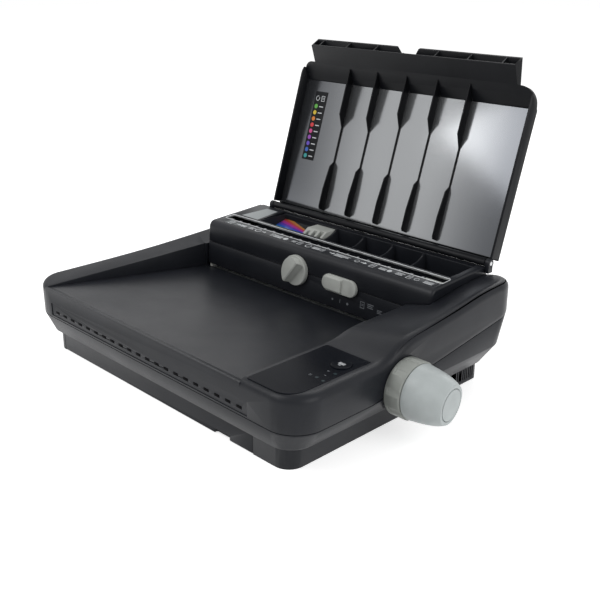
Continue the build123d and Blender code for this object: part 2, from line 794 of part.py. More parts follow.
# Comb trough with curved dividers, and the size gauge in its left bay
trough_floor_z = 82.0
trough_wall = 2.0
divider_x = [trough_x0 + 88.0 + 41.5 * index for index in range(4)]
divider_half = 1.0
trough_top = top_z(trough_y0) - 0.3
with BuildPart() as comb_trough:
    block(trough_x0 + seat_gap, trough_x1 - seat_gap, trough_y0 + seat_gap, trough_y1 - seat_gap,
          trough_floor_z - trough_wall, trough_top)
    block(trough_x0 + seat_gap + trough_wall, trough_x1 - seat_gap - trough_wall,
          trough_y0 + seat_gap + trough_wall, trough_y1 - seat_gap - trough_wall,
          trough_floor_z, hull_top, mode=Mode.SUBTRACT)
    for x in divider_x:
        with BuildSketch(Plane.YZ.offset(x - divider_half)) as divider:
            with BuildLine():
                rear = trough_y1 - trough_wall
                front = trough_y0 + trough_wall
                Polyline((rear, trough_floor_z - 0.5), (front, trough_floor_z - 0.5), (front, trough_top - 3))
                ThreePointArc((front, trough_top - 3), (rear - 20, trough_top - 7.5), (rear - 4, trough_top - 1.5))
                Polyline((rear - 4, trough_top - 1.5), (rear - 4, trough_top), (rear, trough_top),
                         (rear, trough_floor_z - 0.5))
            make_face()
        extrude(divider.sketch, amount=2 * divider_half)
comb_trough.part.label = "comb_trough"
export_step(comb_trough.part, "parts/comb_trough.step")

gauge_front_y = trough_y0 + 8.0
gauge_rear_y = trough_y1 - trough_wall - 2 * seat_gap
gauge_front_z = 88.0
gauge_rear_z = 97.0
gauge_slope = (gauge_rear_z - gauge_front_z) / (gauge_rear_y - gauge_front_y)
with BuildPart() as size_gauge_plate:
    profile_yz([(gauge_front_y, trough_floor_z), (gauge_rear_y, trough_floor_z),
                (gauge_rear_y, gauge_rear_z), (gauge_front_y, gauge_front_z)],
               trough_x0 + trough_wall + 2 * seat_gap, divider_x[0] - divider_half - seat_gap)
size_gauge_plate.part.label = "size_gauge_plate"
export_step(size_gauge_plate.part, "parts/size_gauge_plate.step")

gauge_slider_x1 = divider_x[0] - divider_half - 1.0
gauge_slider_x0 = gauge_slider_x1 - 30.0
gauge_slider_y0 = gauge_front_y + 10.0
gauge_slider_top = 101.5


def gauge_z(y):
    return gauge_front_z + (y - gauge_front_y) * gauge_slope


with BuildPart() as gauge_slider:
    rear = gauge_rear_y - sliding_gap
    profile_yz([(gauge_slider_y0, gauge_z(gauge_slider_y0) + sliding_gap), (rear, gauge_z(rear) + sliding_gap),
                (rear, gauge_slider_top), (gauge_slider_y0 + 8, gauge_slider_top),
                (gauge_slider_y0, gauge_slider_top - 5)],
               gauge_slider_x0, gauge_slider_x1)
    for notch in range(3):
        x = gauge_slider_x0 + 4 + notch * 8.5
        block(x, x + 4 + notch, gauge_slider_y0 - 1, gauge_slider_y0 + 5 + notch * 1.5, 80, hull_top,
              mode=Mode.SUBTRACT)
gauge_slider.part.label = "gauge_slider"
export_step(gauge_slider.part, "parts/gauge_slider.step")

# Bearing of the dial: a cup that fills the round hole through both shells
bearing_hub = 9.0
with BuildPart() as dial_bearing:
    rod_x(dial_y, dial_z, bearing_radius, foot_x1, case_x1 + 0.3)
    rod_x(dial_y, dial_z, bearing_radius - 3, foot_x1 - 1, case_x1 - 4, mode=Mode.SUBTRACT)
    rod_x(dial_y, dial_z, bearing_hub, foot_x1, case_x1 - 3)
    rod_x(dial_y, dial_z, dial_shaft_radius + running_fit, foot_x1 - 1, case_x1 + 1, mode=Mode.SUBTRACT)
dial_bearing.part.label = "dial_bearing"
export_step(dial_bearing.part, "parts/dial_bearing.step")

# Hinge ears and pins of the lid
bar_x0 = housing_x0 + 22.0
bar_x1 = housing_x1 - 1.0
ear_radius = 4.2
left_ear = (bar_x0 - 1 - ear_thick, bar_x0 - 1)
right_ear = (bar_x1 + 1, bar_x1 + 1 + ear_thick)
ear_feet = [(left_ear, housing_step_z), (right_ear, 98.6)]
with BuildPart() as hinge_brackets:
    for (x0, x1), foot_z in ear_feet:
        rod_x(hinge_y, hinge_z, ear_radius, x0, x1)
        block(x0, x1, hinge_y - ear_radius, hinge_y + 3.0, foot_z, hinge_z)
        rod_x(hinge_y, hinge_z, hinge_pin_radius, x0 - 1, x1 + 1, mode=Mode.SUBTRACT)
hinge_brackets.part.label = "hinge_brackets"
export_step(hinge_brackets.part, "parts/hinge_brackets.step")

with BuildPart() as hinge_pins:
    rod_x(hinge_y, hinge_z, hinge_pin_radius, left_ear[0], bar_x0 + hinge_pin_depth - 0.5)
    rod_x(hinge_y, hinge_z, hinge_pin_radius, bar_x1 - hinge_pin_depth + 0.5, right_ear[1])
hinge_pins.part.label = "hinge_pins"
export_step(hinge_pins.part, "parts/hinge_pins.step")

# Pads and screws of the underside
with BuildPart() as base_pads:
    for x, y in pad_places:
        rod_z(x, y, pad_radius, 0, pad_thick)
base_pads.part.label = "base_pads"
export_step(base_pads.part, "parts/base_pads.step")

with BuildPart() as case_screws:
    for x, y in screw_places:
        rod_z(x, y, screw_head_radius, 0.6, floor_thick)
        rod_z(x, y, screw_hole_radius - seat_gap, floor_thick, post_top(y) + 7)
case_screws.part.label = "case_screws"
export_step(case_screws.part, "parts/case_screws.step")

# Power inlet with its three blades, and the rocker switch beside it
with BuildPart() as power_inlet:
    block(inlet_x - 13, inlet_x + 13, foot_y1 - 16, foot_y1, inlet_z0, inlet_z1)
    block(inlet_x - 16, inlet_x + 16, foot_y1, foot_y1 + 1.6, inlet_z0 - 1.1, inlet_z1 + 1.1)
    block(inlet_x - 11.5, inlet_x + 11.5, foot_y1 - 12, foot_y1 + 2, inlet_z0 + 1.5, inlet_z1 - 1.5,
          mode=Mode.SUBTRACT)
    for x in (inlet_x - 7, inlet_x, inlet_x + 7):
        block(x - 1, x + 1, foot_y1 - 12.5, foot_y1 - 1, inlet_z0 + 5.3, inlet_z0 + 10.3)
power_inlet.part.label = "power_inlet"
export_step(power_inlet.part, "parts/power_inlet.step")

rocker_y = foot_y1 - 6.0
rocker_z = (inlet_z0 + inlet_z1) / 2 + 0.3
rocker_tilt = 8.0
rocker_pin = 1.2
with BuildPart() as switch_body:
    block(switch_x - 11, switch_x + 11, foot_y1 - 16, foot_y1, rocker_z - 7.8, rocker_z + 7.8)
    block(switch_x - 12.5, switch_x + 12.5, foot_y1, foot_y1 + 1.2, rocker_z - 8.8, rocker_z + 8.8)
    block(switch_x - 9, switch_x + 9, foot_y1 - 13, foot_y1 + 2, rocker_z - 6.6, rocker_z + 6.6,
          mode=Mode.SUBTRACT)
    rod_x(rocker_y, rocker_z, rocker_pin + running_fit, switch_x - 10.2, switch_x + 10.2, mode=Mode.SUBTRACT)
switch_body.part.label = "switch_body"
export_step(switch_body.part, "parts/switch_body.step")

rocker_shape = [(-3.0, -3.4), (5.0, -5.0), (8.4, -5.0), (6.9, 0.0), (8.4, 5.0), (5.0, 5.0), (-3.0, 3.4)]
tilt_cos = cos(radians(-rocker_tilt))
tilt_sin = sin(radians(-rocker_tilt))
with BuildPart() as switch_rocker:
    profile_yz([(rocker_y + y * tilt_cos - z * tilt_sin, rocker_z + y * tilt_sin + z * tilt_cos)
                for y, z in rocker_shape], switch_x - 9 + sliding_gap, switch_x + 9 - sliding_gap)
    rod_x(rocker_y, rocker_z, rocker_pin, switch_x - 10, switch_x + 10)
switch_rocker.part.label = "switch_rocker"
export_step(switch_rocker.part, "parts/switch_rocker.step")

# Punch: die plate, guide plate and the side frames that carry them
die_bottom = throat_z - 8.0
guide_front = 64.2
plate_rear = 82.0
hole_x = [row_x0 + index * comb_pitch for index in range(comb_holes)]
pin_gap = 0.1


def pin_holes(z0, z1):
    for x in hole_x:
        block(x - pin_size_x / 2 - pin_gap, x + pin_size_x / 2 + pin_gap, punch_y - pin_size_y / 2 - pin_gap,
              punch_y + pin_size_y / 2 + pin_gap, z0 - 1, z1 + 1, mode=Mode.SUBTRACT)


rod_radius = 2.0
rod_y = punch_y + 6.0
rod_places = [(row_x0 + comb_pitch / 2, rod_y), (row_x1 - comb_pitch / 2, rod_y)]
with BuildPart() as die_plate:
    block(frame_x0, frame_x1, die_front_y, plate_rear, die_bottom, throat_z)
    pin_holes(die_bottom, throat_z)
die_plate.part.label = "die_plate"
export_step(die_plate.part, "parts/die_plate.step")

with BuildPart() as guide_plate:
    block(frame_x0, frame_x1, guide_front, plate_rear, apron_bottom, guide_top)
    pin_holes(apron_bottom, guide_top)
    for x, y in rod_places:
        rod_z(x, y, rod_radius, apron_bottom - 1, guide_top + 1, mode=Mode.SUBTRACT)
guide_plate.part.label = "guide_plate"
export_step(guide_plate.part, "parts/guide_plate.step")

# Side frames
stud_radius = 3.0
bush_radius = 5.0
frame_rear = 84.5
with BuildPart() as punch_frames:
    left_outline = [(frame_front, floor_thick), (frame_rear, floor_thick), (frame_rear, 44), (idler_y + 4, 56),
                    (idler_y + 9, idler_z), (idler_y + 4, idler_z + 9), (frame_rear, 84.0), (frame_rear, 92.0),
                    (frame_front + 3, 92.0), (frame_front, 89.0)]
    right_outline = [(frame_front, floor_thick), (frame_rear, floor_thick), (frame_rear, 92.0),
                     (frame_front + 3, 92.0), (frame_front, 89.0)]
    profile_yz(left_outline, frame_x0 - frame_thick, frame_x0)
    profile_yz(right_outline, frame_x1, frame_x1 + frame_thick)
    for x0 in (frame_x0 - frame_thick, frame_x1):
        block(x0 - 1, x0 + frame_thick + 1, frame_front - 1, 76.5, throat_z - 0.2, apron_bottom + 0.2,
              mode=Mode.SUBTRACT)
    rod_x(cam_y, cam_z, bush_radius, -case_side, case_side, mode=Mode.SUBTRACT)
    rod_x(idler_y, idler_z, stud_radius, -case_side, case_side, mode=Mode.SUBTRACT)
punch_frames.part.label = "punch_frames"
export_step(punch_frames.part, "parts/punch_frames.step")

with BuildPart() as guide_rods:
    for x, y in rod_places:
        rod_z(x, y, rod_radius, apron_bottom, bar_top + 1.2)
guide_rods.part.label = "guide_rods"
export_step(guide_rods.part, "parts/guide_rods.step")

spring_radius = 3.4
spring_bore = 2.4
with BuildPart() as return_springs:
    for x, y in rod_places:
        rod_z(x, y, spring_radius, guide_top, bar_bottom)
        rod_z(x, y, spring_bore, guide_top - 1, bar_bottom + 1, mode=Mode.SUBTRACT)
return_springs.part.label = "return_springs"
export_step(return_springs.part, "parts/return_springs.step")

with BuildPart() as punch_bar:
    block(gear_x1 + 0.5, frame_x1 - sliding_gap, frame_front, 78.0, bar_bottom, bar_top)
    for x, y in rod_places:
        rod_z(x, y, rod_radius + running_fit, bar_bottom - 1, bar_top + 1, mode=Mode.SUBTRACT)
punch_bar.part.label = "punch_bar"
export_step(punch_bar.part, "parts/punch_bar.step")

pin_tip = apron_bottom + 1.0
with BuildPart() as punch_pins:
    for x in hole_x:
        block(x - pin_size_x / 2, x + pin_size_x / 2, punch_y - pin_size_y / 2, punch_y + pin_size_y / 2,
              pin_tip, bar_bottom)
punch_pins.part.label = "punch_pins"
export_step(punch_pins.part, "parts/punch_pins.step")

with BuildPart() as depth_stop:
    block(frame_x0 + 2.0, frame_x1 - 2.0, 74.0, 78.0, throat_z + 0.5, apron_bottom - 0.6)
depth_stop.part.label = "depth_stop"
export_step(depth_stop.part, "parts/depth_stop.step")

# Camshaft in two bushes; the cams are involutes, so a turn moves the flat bar in proportion
with BuildPart() as shaft_bushes:
    for x0 in (frame_x0 - frame_thick, frame_x1):
        rod_x(cam_y, cam_z, bush_radius, x0, x0 + frame_thick)
    rod_x(cam_y, cam_z, bush_radius + 1.5, frame_x1 + frame_thick, frame_x1 + frame_thick + 1)
    rod_x(cam_y, cam_z, cam_shaft_radius + running_fit, -case_side, case_side, mode=Mode.SUBTRACT)
shaft_bushes.part.label = "shaft_bushes"
export_step(shaft_bushes.part, "parts/shaft_bushes.step")

with BuildPart() as cam_shaft:
    rod_x(cam_y, cam_z, cam_shaft_radius, frame_x0 - frame_thick, frame_x1 + frame_thick + 1)
cam_shaft.part.label = "cam_shaft"
export_step(cam_shaft.part, "parts/cam_shaft.step")

cam_rest_roll = 1.0
cam_start_roll = 0.85
cam_end_roll = cam_rest_roll + punch_travel / cam_base_radius + 0.12


def involute_point(roll):
    angle = pi - (roll - cam_rest_roll)
    return (cam_y + cam_base_radius * (cos(angle) - roll * sin(angle)),
            cam_z + cam_base_radius * (sin(angle) + roll * cos(angle)))


cam_x = [row_centre_x - 97.0, row_centre_x + 13.0, row_centre_x + 98.0]
cam_hub_radius = 4.2
with BuildPart() as cams:
    for x in cam_x:
        with BuildSketch(Plane.YZ.offset(x - cam_width / 2)) as cam_face:
            with BuildLine():
                rolls = [cam_start_roll + (cam_end_roll - cam_start_roll) * step / 8 for step in range(9)]
                flank = Spline(*[involute_point(roll) for roll in rolls])
                Line(flank @ 1, (cam_y + 1.0, cam_z + cam_hub_radius - 0.3))
                Line((cam_y + 1.0, cam_z + cam_hub_radius - 0.3), (cam_y + 1.0, cam_z - 1.0))
                Line((cam_y + 1.0, cam_z - 1.0), flank @ 0)
            make_face()
            with Locations((cam_y, cam_z)):
                Circle(cam_hub_radius)
                Circle(cam_shaft_radius + running_fit, mode=Mode.SUBTRACT)
        extrude(cam_face.sketch, amount=cam_width)
cams.part.label = "cams"
export_step(cams.part, "parts/cams.step")


def gear(y, z, teeth, x0, x1, bore, turn):
    with BuildPart() as wheel:
        with BuildSketch(Plane(origin=(x0, y, z), x_dir=(0, 1, 0), z_dir=(1, 0, 0))) as face:
            gear_outline(teeth, turn)
            Circle(bore, mode=Mode.SUBTRACT)
        extrude(face.sketch, amount=x1 - x0)
    return wheel.part


def meshing_turn(teeth, partner_teeth, partner_turn, direction):
    """Turn that puts a gap where the partner has a tooth, across a line of centres at direction."""
    partner_phase = (direction - partner_turn) * partner_teeth / 360.0
    own_phase = 0.5 - partner_phase
    return direction + 180.0 - (own_phase % 1.0) * 360.0 / teeth


idler_turn = meshing_turn(idler_teeth, cam_gear_teeth, 0.0, idler_angle)
motor_turn = meshing_turn(motor_teeth, idler_teeth, idler_turn, motor_angle)
cam_gear_wheel = gear(cam_y, cam_z, cam_gear_teeth, gear_x0, gear_x1, cam_shaft_radius + running_fit, 0.0)
idler_wheel = gear(idler_y, idler_z, idler_teeth, gear_x0, gear_x1, stud_radius + running_fit, idler_turn)
motor_shaft_radius = 1.5
motor_wheel = gear(motor_y, motor_z, motor_teeth, gear_x0, gear_x1, motor_shaft_radius, motor_turn)

with BuildPart() as cam_gear:
    add(cam_gear_wheel)
cam_gear.part.label = "cam_gear"
export_step(cam_gear.part, "parts/cam_gear.step")

with BuildPart() as idler_gear:
    add(idler_wheel)
idler_gear.part.label = "idler_gear"
export_step(idler_gear.part, "parts/idler_gear.step")

with BuildPart() as idler_stud:
    rod_x(idler_y, idler_z, stud_radius, frame_x0 - frame_thick, gear_x1 + 0.3)
idler_stud.part.label = "idler_stud"
export_step(idler_stud.part, "parts/idler_stud.step")

with BuildPart() as motor:
    rod_x(motor_y, motor_z, motor_radius, motor_x0, motor_x0 + motor_length)
    rod_x(motor_y, motor_z, 6.0, motor_x0 + motor_length, motor_x0 + motor_length + 4)
    rod_x(motor_y, motor_z, motor_shaft_radius + running_fit, motor_x0 - 1, motor_x0 + 12, mode=Mode.SUBTRACT)
motor.part.label = "motor"
export_step(motor.part, "parts/motor.step")

with BuildPart() as motor_pinion:
    add(motor_wheel)
    rod_x(motor_y, motor_z, motor_shaft_radius, gear_x0, motor_x0 + 11.5)
motor_pinion.part.label = "motor_pinion"
export_step(motor_pinion.part, "parts/motor_pinion.step")

# Chip drawer on its two rails
drawer_floor_z = floor_thick + 0.5
drawer_top_z = ledge_z - 1.0
drawer_front_y = foot_y0
with BuildPart() as chip_drawer:
    block(drawer_x0, drawer_x1, drawer_front_y + lower_wall, drawer_rear_y, drawer_floor_z, drawer_top_z)
    block(drawer_x0 + drawer_wall, drawer_x1 - drawer_wall, drawer_front_y + lower_wall,
          drawer_rear_y - drawer_wall, drawer_floor_z + drawer_wall, drawer_top_z + 1, mode=Mode.SUBTRACT)
    block(drawer_x0 - drawer_gap, drawer_x1 + drawer_gap, drawer_front_y, drawer_front_y + lower_wall, 0.5,
          ledge_z - drawer_gap)
    block(notch_x0, notch_x1, drawer_front_y - 1, drawer_front_y + lower_wall + 1, 0, notch_z, mode=Mode.SUBTRACT)
chip_drawer.part.label = "chip_drawer"
export_step(chip_drawer.part, "parts/chip_drawer.step")

with BuildPart() as drawer_rails:
    for rail_x0 in (drawer_x0 - drawer_gap - 3.5, drawer_x1 + drawer_gap):
        block(rail_x0, rail_x0 + 3.5, drawer_front_y + 25, frame_front - 2, floor_thick, floor_thick + 8)
drawer_rails.part.label = "drawer_rails"
export_step(drawer_rails.part, "parts/drawer_rails.step")

# Knob, rack and stop of the edge guide
face_gap = 0.3
rack_w0 = -4.4
rack_w1 = -2.4
guide_pinion_teeth = 12
pinion_radius = gear_module * guide_pinion_teeth / 2
wing_turn = 52.0
disc_thick = 4.6
wing_height = 12.0


def wall_point(x, v, w):
    """Point at x, height v up the front wall and w out from it."""
    return (x, housing_front_y + v * wall_sin - w * wall_cos, housing_front_base_z + v * wall_cos + w * wall_sin)


along_x = cos(radians(wing_turn))
along_v = sin(radians(wing_turn))
wing_plane = Plane(
    origin=wall_point(knob_x, knob_v, 0),
    x_dir=(along_v, -along_x * wall_sin, -along_x * wall_cos),
    z_dir=(-along_x, -along_v * wall_sin, -along_v * wall_cos),
)
with BuildPart() as knob_wing:
    with BuildSketch(wing_plane) as section:
        with BuildLine():
            Polyline((-knob_radius, disc_thick - 1), (-knob_radius, disc_thick + 3.2), (0.0, wing_height),
                     (1.6, wing_height - 0.5), (4.2, disc_thick + 1.6), (7.5, disc_thick - 1), close=True)
        make_face()
    extrude(section.sketch, amount=knob_radius, both=True)
    with BuildSketch(wall_plane.offset(face_gap)) as limit:
        with Locations((knob_x, knob_v)):
            Circle(knob_radius - 1.6)
    extrude(limit.sketch, amount=wing_height + 2, mode=Mode.INTERSECT)

with BuildPart() as knob_disc:
    with BuildSketch(wall_plane.offset(face_gap)) as disc:
        with Locations((knob_x, knob_v)):
            Circle(knob_radius)
    extrude(disc.sketch, amount=disc_thick)
    rim_edges = [edge for edge in edges() if edge.center().Y < housing_front_y + knob_v * wall_sin - disc_thick + 1]
    fillet(rim_edges, 1.0)

with BuildPart() as edge_knob:
    add(knob_disc.part)
    add(knob_wing.part)
    with BuildSketch(wall_plane.offset(rack_w0 - 0.2)) as shaft:
        with Locations((knob_x, knob_v)):
            Circle(knob_shaft_radius)
    extrude(shaft.sketch, amount=face_gap - rack_w0 + 0.7)
    with BuildSketch(Plane(origin=wall_point(knob_x, knob_v, rack_w0), x_dir=(1, 0, 0),
                           z_dir=wall_plane.z_dir)) as pinion:
        gear_outline(guide_pinion_teeth, 15.0)
    extrude(pinion.sketch, amount=rack_w1 - rack_w0)
edge_knob.part.label = "edge_knob"
export_step(edge_knob.part, "parts/edge_knob.step")

guide_travel = 2.0
guide_arm_x0 = housing_x0 + housing_wall + guide_travel + sliding_gap + seat_gap
guide_arm_x1 = guide_arm_x0 + 6.0
guide_stop_x = tray_x1 - sheet_length
guide_foot_x0 = guide_stop_x - 3.6
guide_foot_v0 = 0.3
guide_foot_v1 = throat_gap - 0.8
rack_teeth = 8
rack_pitch_v = knob_v - pinion_radius
rack_top_v = rack_pitch_v - root_depth
rack_bottom_v = rack_top_v - 4.5
rack_end_x = knob_x + 9.0
knob_rack = rack_points(knob_x - 5 * pi * gear_module, rack_teeth, rack_pitch_v, 1)
with BuildPart() as edge_guide:
    with BuildSketch(wall_plane.offset(rack_w0)) as plate:
        with BuildLine():
            Polyline((guide_foot_x0, guide_foot_v0), (guide_stop_x, guide_foot_v0), (guide_stop_x, throat_gap),
                     (guide_arm_x1, throat_gap), (guide_arm_x1, rack_bottom_v),
                     (rack_end_x, rack_bottom_v), (rack_end_x, rack_top_v), *knob_rack[::-1],
                     (guide_arm_x0, rack_top_v), (guide_arm_x0, guide_foot_v1), (guide_foot_x0, guide_foot_v1),
                     close=True)
        make_face()
    extrude(plate.sketch, amount=rack_w1 - rack_w0)
    block(guide_foot_x0, guide_stop_x, die_front_y - 1.2, punch_y - pin_size_y / 2 - 2 * sliding_gap,
          throat_z + 0.5, apron_bottom - 0.5)
edge_guide.part.label = "edge_guide"
export_step(edge_guide.part, "parts/edge_guide.step")

# Slider that sets the punching depth
with BuildPart() as depth_slider:
    with BuildSketch(wall_plane.offset(face_gap)) as grip:
        with Locations((slider_x, slider_v)):
            SlotOverall(slider_length, slider_height)
    extrude(grip.sketch, amount=3.9)
    with BuildSketch(wall_plane.offset(face_gap + 3.4)) as hump:
        with Locations((slider_x - 4.5, slider_v)):
            SlotOverall(slider_length - 12, slider_height - 3)
        with Locations((slider_x + 12, slider_v)):
            Rectangle(14, slider_height, mode=Mode.SUBTRACT)
    extrude(hump.sketch, amount=3.0, taper=12)
    with BuildSketch(wall_plane.offset(rack_w1)) as neck:
        with Locations((slider_x, slider_v)):
            Rectangle(2 * slider_neck_x, 2 * slider_neck_v)
    extrude(neck.sketch, amount=face_gap - rack_w1 + 0.5)
    with BuildSketch(wall_plane.offset(rack_w1 - 1.2)) as keeper:
        with Locations((slider_x, slider_v)):
            Rectangle(20, 10)
    extrude(keeper.sketch, amount=1.2)
depth_slider.part.label = "depth_slider"
export_step(depth_slider.part, "parts/depth_slider.step")

# Punch button on its spring over the control board, and the power supply
button_top = console_floor_z + console_thick + 1.0
flange_z = 70.0
switch_height = 4.0
with BuildPart() as punch_button:
    rod_z(button_x, button_y, button_radius, flange_z, button_top)
    fillet(faces().sort_by(Axis.Z)[-1].edges(), 0.8)
    rod_z(button_x, button_y, button_radius + 1.2, flange_z, flange_z + 1.6)
    rod_z(button_x, button_y, 3.0, board_z + board_thick + switch_height + button_travel + 0.2, flange_z)
punch_button.part.label = "punch_button"
export_step(punch_button.part, "parts/punch_button.step")

with BuildPart() as button_spring:
    rod_z(button_x, button_y, 7.4, board_z + board_thick, flange_z)
    rod_z(button_x, button_y, 6.2, board_z, flange_z + 1, mode=Mode.SUBTRACT)
button_spring.part.label = "button_spring"
export_step(button_spring.part, "parts/button_spring.step")

with BuildPart() as control_board:
    block(board_x0, board_x1, board_y0, board_y1, board_z, board_z + board_thick)
    top = board_z + board_thick
    block(button_x - 4, button_x + 4, button_y - 4, button_y + 4, top, top + switch_height)
    block(board_x0 + 14, board_x0 + 26, board_y0 + 18, board_y0 + 30, top, top + 2)
    block(board_x0 + 8, board_x0 + 16, board_y0 + 40, board_y0 + 56, top, top + 3)
    rod_z(*screw_places[2], screw_boss_radius + sliding_gap, board_z - 1, board_z + 10, mode=Mode.SUBTRACT)
control_board.part.label = "control_board"
export_step(control_board.part, "parts/control_board.step")

with BuildPart() as power_supply:
    block(-75, 25, 88, 114, floor_thick, floor_thick + 33)
    for slot in range(9):
        block(-68 + slot * 10, -64 + slot * 10, 87, 89, 10, 30, mode=Mode.SUBTRACT)
power_supply.part.label = "power_supply"
export_step(power_supply.part, "parts/power_supply.step")

# Dial: stepped collar, grip with two horns, oval cap and the shaft with its pinion
collar_x0 = case_x1 + 0.6
collar_x1 = collar_x0 + collar_length
grip_x0 = collar_x1 + 0.6
grip_x1 = grip_x0 + grip_length
shaft_x0 = opening_x1 - 2.6
pinion_x0 = 167.0
pinion_x1 = 177.0
dial_pinion = gear(dial_y, dial_z, dial_teeth, pinion_x0, pinion_x1, 1.0, 15.0)
with BuildPart() as dial_collar:
    rod_x(dial_y, dial_z, collar_radius, collar_x0, collar_x1)
    fillet(edges().sort_by(Axis.X)[-1], 1.5)
    for step in range(9):
        turn = radians(40 * step + 8)
        reach = collar_radius + 5.4
        with BuildSketch(Plane.YZ.offset(collar_x0 + 3)) as scoop:
            with Locations((dial_y + reach * cos(turn), dial_z + reach * sin(turn))):
                Circle(6.4)
        extrude(scoop.sketch, amount=collar_length, mode=Mode.SUBTRACT)
    rod_x(dial_y, dial_z, dial_shaft_radius, collar_x0 - 1, collar_x1 + 1, mode=Mode.SUBTRACT)
dial_collar.part.label = "dial_collar"
export_step(dial_collar.part, "parts/dial_collar.step")

grip_stations = [(0.0, 25.6, 25.6), (0.31, 24.3, 24.0), (0.63, 22.4, 20.2), (0.88, 19.7, 15.4), (1.0, 17.8, 13.0)]
cap_seat_depth = 2.4
grip_points = 24


def cap_solid(clearance, x1, mode):
    """Oval of the cap, widened by a clearance, from the bottom of its seat to x1."""
    with BuildSketch(Plane.YZ.offset(grip_x1 - cap_seat_depth)) as oval:
        with Locations(Location((dial_y, dial_z), horn_turn)):
            Ellipse(cap_long_radius + clearance, cap_short_radius + clearance)
    extrude(oval.sketch, amount=x1 - grip_x1 + cap_seat_depth, mode=mode)


with BuildPart() as dial_grip:
    for share, corner_reach, side_reach in grip_stations:
        with BuildSketch(Plane.YZ.offset(grip_x0 + share * grip_length)):
            with BuildLine():
                outline = []
                for index in range(grip_points):
                    angle = 2 * pi * index / grip_points
                    horn = ((1 + cos(2 * (angle - radians(horn_turn)))) / 2) ** 1.3
                    reach = side_reach + (corner_reach - side_reach) * horn
                    outline.append((dial_y + reach * cos(angle), dial_z + reach * sin(angle)))
                Spline(*outline, periodic=True)
            make_face()
    loft()
    cap_solid(0.5, grip_x1 + 1, Mode.SUBTRACT)
    rod_x(dial_y, dial_z, dial_shaft_radius, grip_x0 - 1, grip_x1 + 1, mode=Mode.SUBTRACT)
dial_grip.part.label = "dial_grip"
export_step(dial_grip.part, "parts/dial_grip.step")

with BuildPart() as dial_cap:
    cap_solid(0.0, grip_x1 + 0.3, Mode.ADD)
    fillet(edges().sort_by(Axis.X)[-1], 0.6)
dial_cap.part.label = "dial_cap"
export_step(dial_cap.part, "parts/dial_cap.step")

with BuildPart() as dial_shaft:
    rod_x(dial_y, dial_z, dial_shaft_radius, shaft_x0, grip_x1 - cap_seat_depth)
    add(dial_pinion)
dial_shaft.part.label = "dial_shaft"
export_step(dial_shaft.part, "parts/dial_shaft.step")

# Comb opener: bracket, rack arm, hook bar, pins and bed
rack_x0 = 168.0
rack_x1 = 176.0
dial_rack_z = dial_z + gear_module * dial_teeth / 2
rack_root_z = dial_rack_z + root_depth
rack_back_z = 58.0
with BuildPart() as opener_bracket:
    block(shaft_x0, shaft_x0 + 4, -45, 5, floor_thick, rack_back_z + 3)
    block(shaft_x0, rack_x1 + 2, -40, 0, rack_back_z + sliding_gap, rack_back_z + 3)
    rod_x(dial_y, dial_z, dial_shaft_radius + running_fit, shaft_x0 - 1, shaft_x0 + 5, mode=Mode.SUBTRACT)
opener_bracket.part.label = "opener_bracket"
export_step(opener_bracket.part, "parts/opener_bracket.step")

arm_y0 = 86.0
arm_y1 = 91.0
arm_z0 = 69.5
arm_z1 = 74.5
riser_x0 = 155.4
riser_x1 = 159.4
hook_bottom = 88.3
hook_bar_top = 92.0
dial_rack = rack_points(dial_y - 7 * pi * gear_module, 10, dial_rack_z, -1)
with BuildPart() as opener_rack:
    profile_yz([(-46, rack_root_z)] + dial_rack + [(arm_y1, rack_root_z), (arm_y1, arm_z1), (arm_y0 - 6, arm_z1),
               (arm_y0 - 6, rack_back_z), (-46, rack_back_z)], rack_x0, rack_x1)
    block(riser_x0, rack_x1, arm_y0, arm_y1, arm_z0, arm_z1)
    block(riser_x0, riser_x1, arm_y0, arm_y1, arm_z0, hook_bottom)
opener_rack.part.label = "opener_rack"
export_step(opener_rack.part, "parts/opener_rack.step")

hook_y0 = 86.0
hook_y1 = 88.5
hook_width = 3.0
hook_top = 99.5
bar_end_x = row_x0 - 4.0
with BuildPart() as hook_bar:
    block(bar_end_x, riser_x1, hook_y0, hook_y1, hook_bottom, hook_bar_top)
    for x in hole_x:
        block(x - hook_width / 2, x + hook_width / 2, hook_y0, hook_y1, hook_bar_top - 0.5, hook_top)
        block(x - hook_width / 2, x + hook_width / 2, hook_y0, hook_y1 + 2.0, hook_top - 1.5, hook_top)
hook_bar.part.label = "hook_bar"
export_step(hook_bar.part, "parts/hook_bar.step")

with BuildPart() as comb_end_guides:
    for x0, x1 in ((bar_end_x - 2, row_x0 - 2.2), (row_x1 + 2.5, row_x1 + 24)):
        block(x0, x1, hook_y1, hook_y1 + 3.0, hook_bottom, hook_top - 0.2)
comb_end_guides.part.label = "comb_end_guides"
export_step(comb_end_guides.part, "parts/comb_end_guides.step")

bed_y0 = 82.5
bed_y1 = 97.5
bed_z0 = 85.0
bed_z1 = 88.0
gear_clearance = gear_module + 0.5
pin_y0 = 83.0
pin_y1 = 85.0
with BuildPart() as opener_bed:
    block(frame_x0, frame_x1, bed_y0, bed_y1, bed_z0, bed_z1)
    # Clearances for the gears beside the left frame
    rod_x(cam_y, cam_z, cam_pitch_radius + gear_clearance, frame_x0 - 1, gear_x1 + 0.5, mode=Mode.SUBTRACT)
    rod_x(idler_y, idler_z, idler_pitch_radius + gear_clearance, frame_x0 - 1, gear_x1 + 0.5, mode=Mode.SUBTRACT)
opener_bed.part.label = "opener_bed"
export_step(opener_bed.part, "parts/opener_bed.step")

with BuildPart() as opener_pins:
    block(row_x0 - 4, row_x1 + 5, pin_y0, pin_y1, bed_z1, hook_bar_top)
    for x in hole_x:
        block(x - 2.5, x + 2.5, pin_y0, pin_y1, hook_bar_top - 0.5, hook_top + 1.5)
opener_pins.part.label = "opener_pins"
export_step(opener_pins.part, "parts/opener_pins.step")

